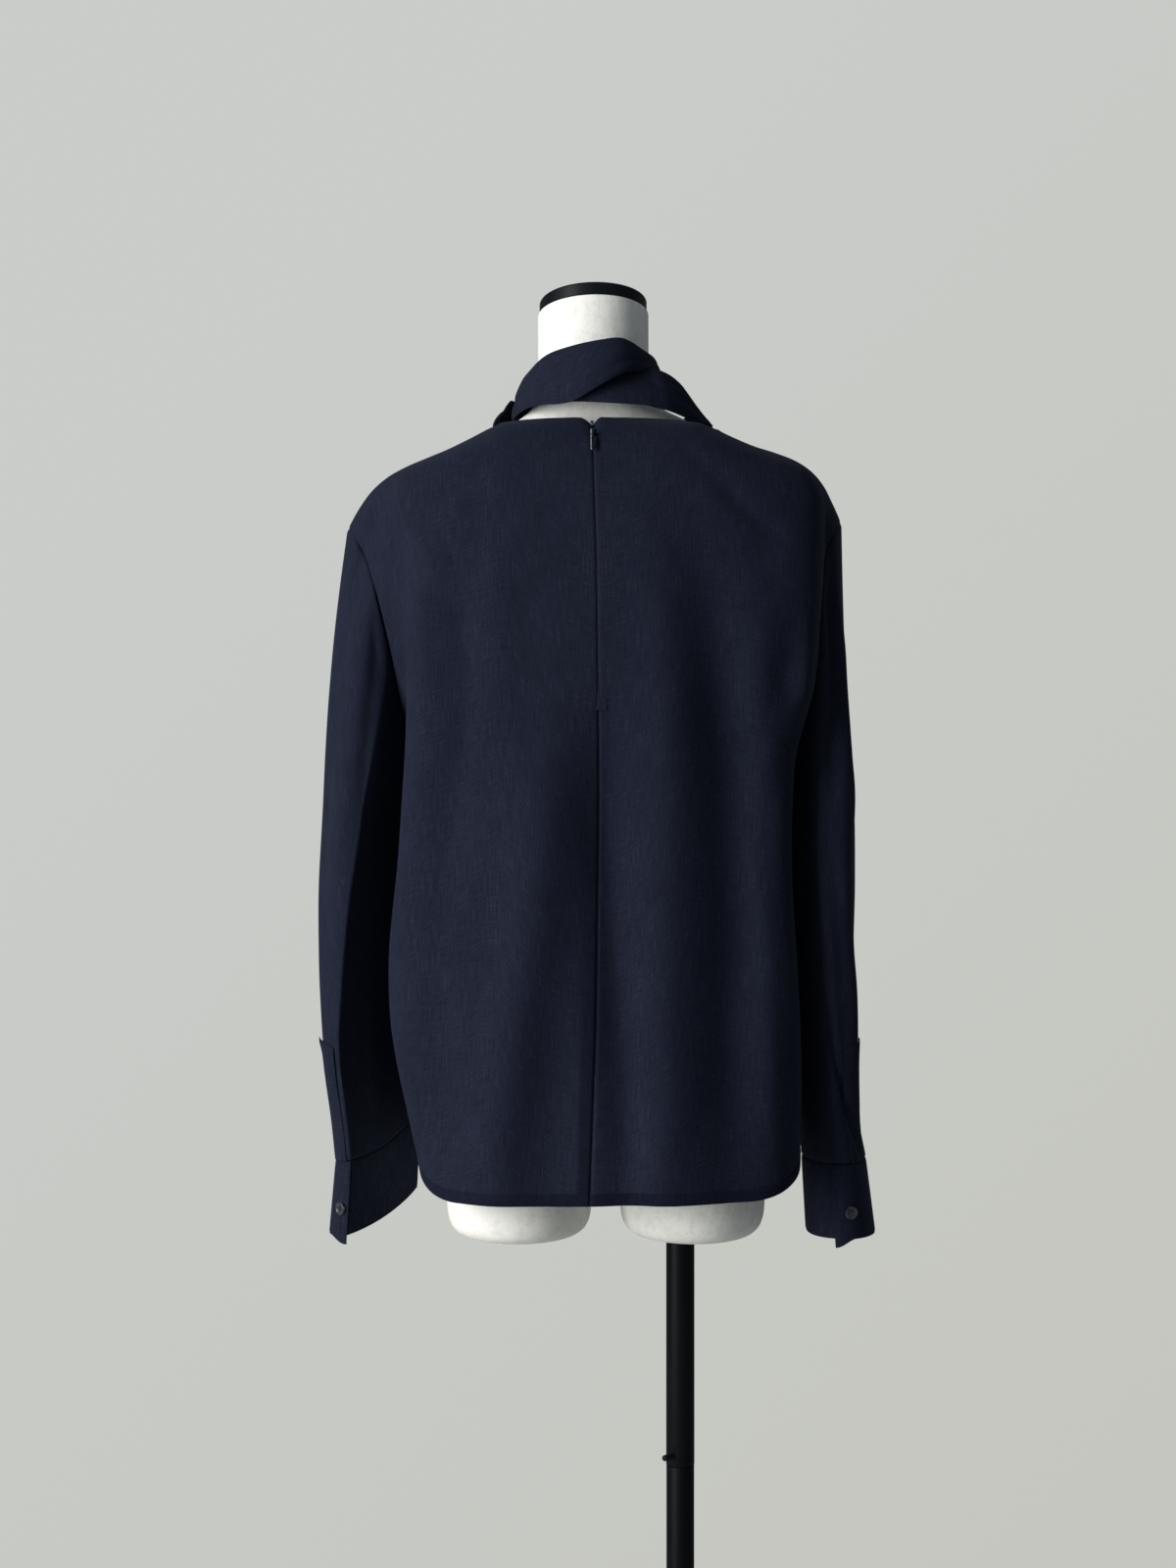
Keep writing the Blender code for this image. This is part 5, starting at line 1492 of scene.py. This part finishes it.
zipSizes = {
    "top": 1453.0,
    "length": 242.0,
    "steps": 60,
    "tapeWall": 0.8,
    "under": 1.6,
    "slope": math.radians(43.0),
    "toothWidth": 3.0,
    "toothThickness": 0.75,
    "pitch": 1.15,
    "teeth": 10,
    "chainTop": 1457.0,
}
slider = {
    "axis": (-0.97, -90.97, 1444.53),
    "width": 4.4,
    "thickness": 2.4,
    "length": 11.0,
    "rise": 1.9,
    "barUp": 1.5,
    "bar": 0.6,
    "cheek": 0.9,
}
pullTab = {
    "length": 18.5,
    "width": 5.6,
    "thickness": 1.0,
    "eye": 0.95,
    "ring": 0.6,
    "hang": math.radians(30.0),
    "rim": 0.62,
}


def lineAt(line, z):
    if z > line[0, 2]:
        return line[0] + (line[0] - line[1]) * (z - line[0, 2]) / (line[0, 2] - line[1, 2])
    return np.array([np.interp(z, line[::-1, 2], line[::-1, k]) for k in range(3)])


def buildTape():
    step = blouse["columnSteps"]
    columns = []
    for name, column in (("back_left", step), ("back_left", 0), ("back_right", step)):
        line = panels[name][:, column] - panelNormals[name][:, column] * (blouse["wall"] + zipSizes["under"])
        heights = zipSizes["top"] - zipSizes["length"] * np.linspace(0.0, 1.0, zipSizes["steps"] + 1)
        columns.append([lineAt(line, z) for z in heights])
    grid = finer(np.array(columns).transpose(1, 0, 2), 1, 6)
    normal = outwardNormals(grid, bodyAxis)
    obj = clothPiece("zip_tape", grid, normal, zipSizes["tapeWall"], clothLook)
    finishPiece(obj, "form", ["zip_tape"])


def modelSlider():
    # upright at the origin, its back to -Y: a waisted body with a pointed nose, two cheeks and a bar
    long, half = slider["length"] / 2, slider["width"] / 2
    size = (slider["width"], slider["thickness"], slider["length"])
    body = addBlock(size, (0.0, -1.5 - slider["thickness"] / 2, 0.0))
    makeActive(body)
    bpy.ops.object.mode_set(mode="EDIT")
    bpy.ops.mesh.select_all(action="SELECT")
    bpy.ops.mesh.subdivide(number_cuts=3)
    bpy.ops.object.mode_set(mode="OBJECT")
    resizeWhere(body, lambda p: p.z > long - 0.1, (0.42, 0.7, 1.0), (0.0, -1.5, 0.0))
    resizeWhere(body, lambda p: p.z < 0.1 - long, (0.6, 1.0, 1.0), (0.0, -2.0, 0.0))
    waist = lambda p: p.y < -3.8 and abs(p.z) < long * 0.6 and abs(p.x) > half * 0.9
    resizeWhere(body, waist, (0.8, 1.0, 1.0))
    limit = math.radians(30)
    applyModifier(body, "BEVEL", width=0.35 * mm, segments=3, limit_method="ANGLE", angle_limit=limit)
    barY = -1.5 - slider["thickness"] - slider["rise"]
    barZ = slider["barUp"] - long
    cheekHigh = slider["rise"] + 1.0
    for x in (-half + 0.45, half - 0.45):
        cheek = addBlock((slider["cheek"] - 0.06, cheekHigh, 2.0), (x, barY + cheekHigh / 2 - 0.45, barZ))
        applyModifier(cheek, "BEVEL", width=0.28 * mm, segments=3)
        combine(body, cheek)
    combine(body, addRod(slider["bar"] - 0.02, slider["width"] - 0.5, (0.0, barY, barZ), "X"))
    return body, Vector((0.0, barY, barZ))


def modelPull():
    # hanging from the origin: a drop with a sunk face and a raised rim, and an eye for the bar
    low = -pullTab["length"]
    high = -pullTab["eye"] - 0.25
    middle = (low + high) / 2
    tab = addRod(pullTab["width"] / 2, pullTab["thickness"], (0.0, 0.0, middle), "Y", 56)
    resizeWhere(tab, lambda p: True, (1.0, 1.0, (high - low) / pullTab["width"]), (0.0, 0.0, middle))
    resizeWhere(tab, lambda p: p.z > middle + 2.0, (0.80, 1.0, 1.0))
    resizeWhere(tab, lambda p: p.z > middle + 5.0, (0.82, 1.0, 1.0))
    resizeWhere(tab, lambda p: p.z > middle + 7.2, (0.9, 1.0, 1.0))
    for side in (-1, 1):
        pickFaces(tab, lambda normal: normal.y * side > 0.9)
        bpy.ops.mesh.inset(thickness=pullTab["rim"] * mm)
        bpy.ops.mesh.inset(thickness=0.12 * mm)
        bpy.ops.transform.translate(value=(0.0, -side * 0.24 * mm, 0.0))
        bpy.ops.object.mode_set(mode="OBJECT")
    limit = math.radians(35)
    applyModifier(tab, "BEVEL", width=0.16 * mm, segments=3, limit_method="ANGLE", angle_limit=limit)
    deselectAll()
    wire = pullTab["ring"] / 2 * mm
    middle = pullTab["eye"] * mm + wire
    bpy.ops.mesh.primitive_torus_add(
        major_radius=middle, minor_radius=wire, major_segments=36, minor_segments=16
    )
    eye = bpy.context.object
    bpy.ops.transform.rotate(value=math.radians(90), orient_axis="Y", center_override=(0.0, 0.0, 0.0))
    bpy.ops.transform.resize(value=(1.9, 1.0, 1.0), center_override=(0.0, 0.0, 0.0))
    bpy.ops.object.transform_apply(location=True, rotation=True, scale=True)
    return joinAll([tab, eye])


def finishMetal(obj, look, place):
    obj.data.transform(place)
    smoothEdges(obj)
    obj.data.materials.clear()
    obj.data.materials.append(look)


def buildSlider():
    # both hang on the bar's axis, which is the joint's
    axis = Vector(slider["axis"]) * mm
    tilt = Matrix.Rotation(-zipSizes["slope"], 4, "X")
    body, bar = modelSlider()
    finishMetal(body, zipLook, Matrix.Translation(axis) @ tilt @ Matrix.Translation(-bar * mm))
    body.name = "zip_slider_body"
    finishPiece(body, "form", ["zip_slider"])
    tab = modelPull()
    finishMetal(tab, zipLook, Matrix.Translation(axis) @ Matrix.Rotation(-pullTab["hang"], 4, "X"))
    tab.name = "zip_pull_tab"
    finishPiece(tab, "zip_pull", ["zip_pull"])


def modelTooth():
    tooth = addRod(zipSizes["toothThickness"] / 2, zipSizes["toothWidth"], (0.0, 0.0, 0.0), "X", 16)
    applyModifier(tooth, "BEVEL", width=0.22 * mm, segments=3, limit_method="ANGLE")
    smoothEdges(tooth)
    tooth.data.materials.append(poleBlack)
    return tooth


def buildTeeth():
    # the coil's loops that show above the slider
    model = modelTooth()
    under = blouse["wall"] + zipSizes["under"] - 0.5
    line = panels["back_left"][:, 0] - panelNormals["back_left"][:, 0] * under
    lean = Matrix.Rotation(math.radians(6.0), 4, "Y")
    for count in range(zipSizes["teeth"]):
        tooth = copyOf(model)
        place = lineAt(line, zipSizes["chainTop"] - count * zipSizes["pitch"])
        tooth.data.transform(Matrix.Translation(Vector(place) * mm) @ lean)
        tooth.name = "zip_tooth_" + str(count + 1)
        finishPiece(tooth, "form")
    bpy.data.objects.remove(model)


buildTape()
buildSlider()
buildTeeth()
print("zip made")


# ---- dress form

# z, centreX, halfWidth, sideY, backY, frontY, fade
formRows = (
    (838, 10, 70, 0, -50, 44, 1),
    (846, 10, 112, 0, -84, 70, 1),
    (862, 10, 134, 0, -100, 84, 1),
    (900, 8, 139, 0, -110, 90, 1),
    (950, 6, 136, 0, -106, 90, 1),
    (1010, 4, 122, 0, -92, 82, 1),
    (1070, 3, 114, 0, -82, 78, 1),
    (1150, 2, 127, 0, -92, 90, 1),
    (1220, 2, 144, 0, -104, 102, 1),
    (1280, 2, 154, 0, -108, 100, 1),
    (1340, 3, 163, 0, -105, 84, 1.1),
    (1385, 4, 168, 0, -96, 58, 1.5),
    (1411, 5, 162, -2, -86, 51, 2),
    (1426, 6, 151, -4, -79, 44, 2.3),
    (1439, 6, 130, -8, -71, 38, 2.3),
    (1454, 6.5, 93, -11, -62, 36, 2.3),
    (1466, 7.5, 76.5, -6, -57.5, 41, 1.4),
    (1480, 2.5, 56, 0, -53, 46, 1),
    (1500, 0, 48.5, 0, -50, 48, 1),
    (1530, -0.5, 48.5, 0, -49, 49, 1),
)
form = {
    "sides": 128,
    "steps": 6,
    "shrink": 0.8,
    "neckTop": 1561.2,
    "neckTilt": math.radians(9.5),
    "neckRoll": math.radians(1.2),
    "neckRadii": (48.5, 50.0),
    "capRadii": (47.0, 49.0),
    "capHeight": 11.0,
    "thighX": {"left": -65.0, "right": 86.0},
    "thighY": -8.0,
    "thighRadii": (63.5, 74.0),
    "voxel": 0.004,
}
thighRows = (
    (757, 0.55),
    (759, 0.78),
    (765, 0.92),
    (777, 0.985),
    (801, 1),
    (850, 1),
    (900, 0.9),
)


def neckPlane(x, y, rise=0.0):
    return form["neckTop"] - y * math.tan(form["neckTilt"]) + x * math.tan(form["neckRoll"]) + rise


def ovalRing(centreX, halfWidth, sideY, backY, frontY, z, fade, sides):
    turns = np.linspace(0.0, 2 * math.pi, sides, endpoint=False)
    ahead = np.clip(np.cos(turns), 0.0, 1.0) ** fade * (frontY - sideY)
    behind = np.clip(-np.cos(turns), 0.0, 1.0) * (backY - sideY)
    return np.stack([centreX + halfWidth * np.sin(turns), sideY + ahead + behind, np.full(sides, z)], axis=1)


def closedMesh(name, rings):
    count = len(rings[0])
    points = [tuple(p) for ring in rings for p in np.asarray(ring) * mm]
    faces = []
    for i in range(len(rings) - 1):
        for j in range(count):
            a, b = i * count + j, i * count + (j + 1) % count
            faces.append((a, b, b + count, a + count))
    faces.append(tuple(range(count))[::-1])
    last = (len(rings) - 1) * count
    faces.append(tuple(range(last, last + count)))
    mesh = bpy.data.meshes.new(name)
    mesh.from_pydata(points, [], faces)
    mesh.update()
    obj = addObject(name, mesh)
    makeActive(obj)
    bpy.ops.object.mode_set(mode="EDIT")
    bpy.ops.mesh.select_all(action="SELECT")
    bpy.ops.mesh.normals_make_consistent(inside=False)
    bpy.ops.object.mode_set(mode="OBJECT")
    return obj


def tiltedRing(radii, rise, scale=1.0):
    turns = np.linspace(0.0, 2 * math.pi, form["sides"], endpoint=False)
    x = -0.5 + radii[0] * scale * np.sin(turns)
    y = radii[1] * scale * np.cos(turns)
    return np.stack([x, y, neckPlane(x, y, rise)], axis=1)


def buildForm():
    coarse = []
    for z, centreX, halfWidth, sideY, backY, frontY, fade in formRows:
        inset = form["shrink"]
        wide, back, ahead = halfWidth - inset, backY + inset, frontY - inset
        coarse.append(ovalRing(centreX, wide, sideY, back, ahead, z, fade, form["sides"]))
    rings = list(through(np.array(coarse), form["steps"]))
    topRing = tiltedRing(form["neckRadii"], -3.0, 0.97)
    lowRing = rings[-1]
    for t in np.linspace(0.0, 1.0, 7)[1:]:
        rings.append(lowRing + (topRing - lowRing) * t)
    torso = closedMesh("form_torso_jersey", rings)
    wide, deep = form["thighRadii"]
    middle = form["thighY"]
    for side in ("left", "right"):
        stub = []
        for z, scale in through(thighRows, 5):
            back, ahead = middle - deep * scale, middle + deep * scale
            stub.append(ovalRing(form["thighX"][side], wide * scale, middle, back, ahead, z, 1.0, 96))
        combine(torso, closedMesh("thigh", stub))
    applyModifier(torso, "REMESH", mode="VOXEL", voxel_size=form["voxel"], adaptivity=0.0)
    applyModifier(torso, "SMOOTH", factor=0.5, iterations=6)
    smoothEdges(torso, 50)
    torso.data.materials.append(jerseyLook)
    finishPiece(torso, "form", ["form_torso"])


roundingTurns = [k / 6 * math.pi / 2 for k in range(1, 7)]


def buildNeck():
    # the jersey's neck, drawn tight up to its rolled top edge
    foot = ovalRing(-0.3, 48.5, 0.0, -49.6, 48.6, 1508.0, 1.0, form["sides"])
    rings = [foot * np.array([0.9, 0.9, 1.0])]
    for t in np.linspace(0.0, 1.0, 12):
        rings.append(foot + (tiltedRing(form["neckRadii"], -1.6) - foot) * t)
    for turn in roundingTurns:
        narrower = 1.0 - 0.033 * (1 - math.cos(turn))
        rings.append(tiltedRing(form["neckRadii"], 1.6 * math.sin(turn) - 1.6, narrower))
    neck = closedMesh("form_neck_jersey", rings)
    smoothEdges(neck, 50)
    neck.data.materials.append(jerseyLook)
    finishPiece(neck, "form")


def buildCap():
    rings = []
    low, high = 0.3, form["capHeight"] + 0.3
    profile = [(low, 0.985), (low + 0.5, 1.0), (high - 2.2, 1.0)]
    for turn in roundingTurns:
        profile.append((high - 2.2 + 2.2 * math.sin(turn), 1.0 - 0.045 * (1 - math.cos(turn))))
    profile += [(high, 0.90), (high - 0.6, 0.88), (high - 0.6, 0.3)]
    for rise, scale in profile:
        rings.append(tiltedRing(form["capRadii"], rise, scale))
    cap = closedMesh("neck_cap_disc", rings)
    smoothEdges(cap, 40)
    cap.data.materials.append(satinBlack)
    finishPiece(cap, "form", ["neck_cap"])


buildForm()
buildNeck()
buildCap()
print("dress form made")


# ---- stand

stand = {
    "poleX": 76.0,
    "upperRadius": 12.4,
    "lowerRadius": 12.2,
    "rodRadius": 10.0,
    "rodTop": 745.0,
    "butt": 553.0,
    "poleTop": 822.0,
    "plateRadius": 165.0,
    "plateThickness": 8.0,
    "collarRadius": 20.0,
    "collarHeight": 18.0,
    "gap": 0.3,
    "screwZ": 563.5,
    "screwRadius": 2.6,
    "screwReach": 24.0,
    "screwAngle": math.radians(232.0),
}


def roundBar(name, radius, low, high, x, bevel, look, sides=96):
    obj = addRod(radius, high - low, (x, 0.0, (low + high) / 2), sides=sides)
    obj.name = name
    applyModifier(obj, "BEVEL", width=bevel * mm, segments=4, limit_method="ANGLE")
    smoothEdges(obj, 30)
    obj.data.materials.append(look)
    return obj


def hollow(obj, radius, low, high, x):
    combine(obj, roundBar("drill", radius, low, high, x, 0.01, satinBlack), "DIFFERENCE")
    smoothEdges(obj, 30)


def buildStand():
    x = stand["poleX"]
    plateTop = stand["plateThickness"]
    plate = roundBar("base_plate_steel", stand["plateRadius"], 0.0, plateTop, 0.0, 2.0, satinBlack, 160)
    finishPiece(plate, "stand", ["base_plate"])
    foot = plateTop + stand["gap"]
    collarTop = foot + stand["collarHeight"]
    collar = roundBar("base_collar_ring", stand["collarRadius"], foot, collarTop, x, 2.0, satinBlack)
    hollow(collar, stand["lowerRadius"] + stand["gap"], -10.0, 60.0, x)
    finishPiece(collar, "stand", ["base_collar"])
    tube = roundBar("pole_lower_tube", stand["lowerRadius"], foot, stand["butt"], x, 0.5, poleBlack)
    rodFoot = stand["butt"] - 2.0  # a little inside the tube, so that the two join
    combine(tube, roundBar("pole_lower_rod", stand["rodRadius"], rodFoot, stand["rodTop"], x, 0.8, poleBlack))
    finishPiece(tube, "stand", ["pole_lower"])
    upperFoot = stand["butt"] + stand["gap"]
    upper = roundBar("pole_upper_tube", stand["upperRadius"], upperFoot, stand["poleTop"], x, 0.5, poleBlack)
    hollow(upper, stand["rodRadius"] + 0.4, 400.0, 800.0, x)
    finishPiece(upper, "form", ["pole_upper"])


def buildScrew():
    # a threaded stud
    turns, pitch = 11, 1.0
    radius, reach = stand["screwRadius"], stand["screwReach"]
    start = stand["rodRadius"] + 0.5
    rings = [(0.6 * radius, start)]
    steps = int((reach - 1.6 - start) / pitch * 2)
    for k in range(steps):
        rings.append((radius if k % 2 else radius * 0.84, start + 0.4 + k * pitch / 2))
    rings += [(radius, reach - 1.0), (radius * 0.95, reach - 0.3), (radius * 0.8, reach)]
    shape = []
    for ring, (wide, along) in enumerate(rings):
        angles = np.linspace(0.0, 2 * math.pi, 32, endpoint=False)
        shape.append(np.stack([wide * np.cos(angles), wide * np.sin(angles), np.full(32, along)], axis=1))
    screw = closedMesh("lock_screw_stud", shape)
    pointing = Vector((math.cos(stand["screwAngle"]), math.sin(stand["screwAngle"]), 0.0))
    aim = Vector((0.0, 0.0, 1.0)).rotation_difference(pointing).to_matrix().to_4x4()
    place = Matrix.Translation(Vector((stand["poleX"], 0.0, stand["screwZ"])) * mm)
    screw.data.transform(place @ aim)
    smoothEdges(screw, 25)
    screw.data.materials.append(satinBlack)
    finishPiece(screw, "lock_screw", ["lock_screw"])


buildStand()
buildScrew()
print("stand made")


# ---- floor, background and light

studio = {
    "floorRadius": 1.15,
    "floorZ": -0.0004,
    "floor": (0.60, 0.61, 0.58),
    "wallLight": (0.591, 0.606, 0.591),
    "wallDark": (0.546, 0.553, 0.500),
    "ambient": (0.76, 0.84, 0.90),
    "ambientStrength": 0.20,
    "key": {
        "place": (-2.22, -1.73, 1.60),
        "aim": (0.0, 0.0, 1.12),
        "size": (1.1, 2.3),
        "power": 108.0,
        "tint": (1.0, 1.0, 1.0),
    },
    "bounce": {
        "place": (-0.8, -1.3, 0.06),
        "aim": (0.0, 0.0, 0.85),
        "size": (1.5, 1.2),
        "power": 2.5,
        "tint": (1.0, 0.97, 0.90),
    },
}


def makeFloor():
    deselectAll()
    low = (0.0, 0.0, studio["floorZ"])
    bpy.ops.mesh.primitive_circle_add(
        vertices=128, radius=studio["floorRadius"], fill_type="NGON", location=low
    )
    floor = bpy.context.object
    floor.name = "floor"
    look, tree, shader = newMaterial("floorPaint", {"Roughness": 0.7})
    stain = noiseOf(tree, objectPlace(tree), (3.0, 3.0, 3.0), 3.0)
    light = studio["floor"]
    dark = tuple(c * 0.96 for c in light)
    rampOf(tree, stain, [(0.3, dark), (0.7, light)], shader.inputs["Base Color"])
    floor.data.materials.append(look)


def makeBackground():
    world = bpy.data.worlds.new("studio")
    bpy.context.scene.world = world
    world.use_nodes = True
    tree = world.node_tree
    background = tree.nodes["Background"]
    background.inputs["Color"].default_value = (*studio["ambient"], 1.0)
    background.inputs["Strength"].default_value = studio["ambientStrength"]
    wall = tree.nodes.new("ShaderNodeBackground")
    # the wall's light falls off a little toward the lower right
    way = tree.nodes.new("ShaderNodeSeparateXYZ")
    tree.links.new(tree.nodes.new("ShaderNodeTexCoord").outputs["Generated"], way.inputs["Vector"])
    fall = scaledOf(tree, mathOf(tree, "SUBTRACT", way.outputs["X"], way.outputs["Z"]), 0.9, 0.3)
    rampOf(tree, fall, [(0.0, studio["wallLight"]), (1.0, studio["wallDark"])], wall.inputs["Color"])
    seen = tree.nodes.new("ShaderNodeLightPath").outputs["Is Camera Ray"]
    mix = tree.nodes.new("ShaderNodeMixShader")
    tree.links.new(seen, mix.inputs["Fac"])
    tree.links.new(background.outputs["Background"], mix.inputs[1])
    tree.links.new(wall.outputs["Background"], mix.inputs[2])
    tree.links.new(mix.outputs["Shader"], tree.nodes["World Output"].inputs["Surface"])


def makeLight(name, sizes):
    data = bpy.data.lights.new(name, "AREA")
    data.shape = "RECTANGLE"
    data.size, data.size_y = sizes["size"]
    data.energy = sizes["power"]
    data.color = sizes["tint"]
    lamp = addObject(name, data)
    lamp.location = sizes["place"]
    way = Vector(sizes["aim"]) - Vector(sizes["place"])
    lamp.rotation_euler = way.to_track_quat("-Z", "Y").to_euler()


makeFloor()
makeBackground()
makeLight("key", studio["key"])
makeLight("bounce", studio["bounce"])
bpy.context.scene.view_settings.view_transform = "Standard"
print("studio made")
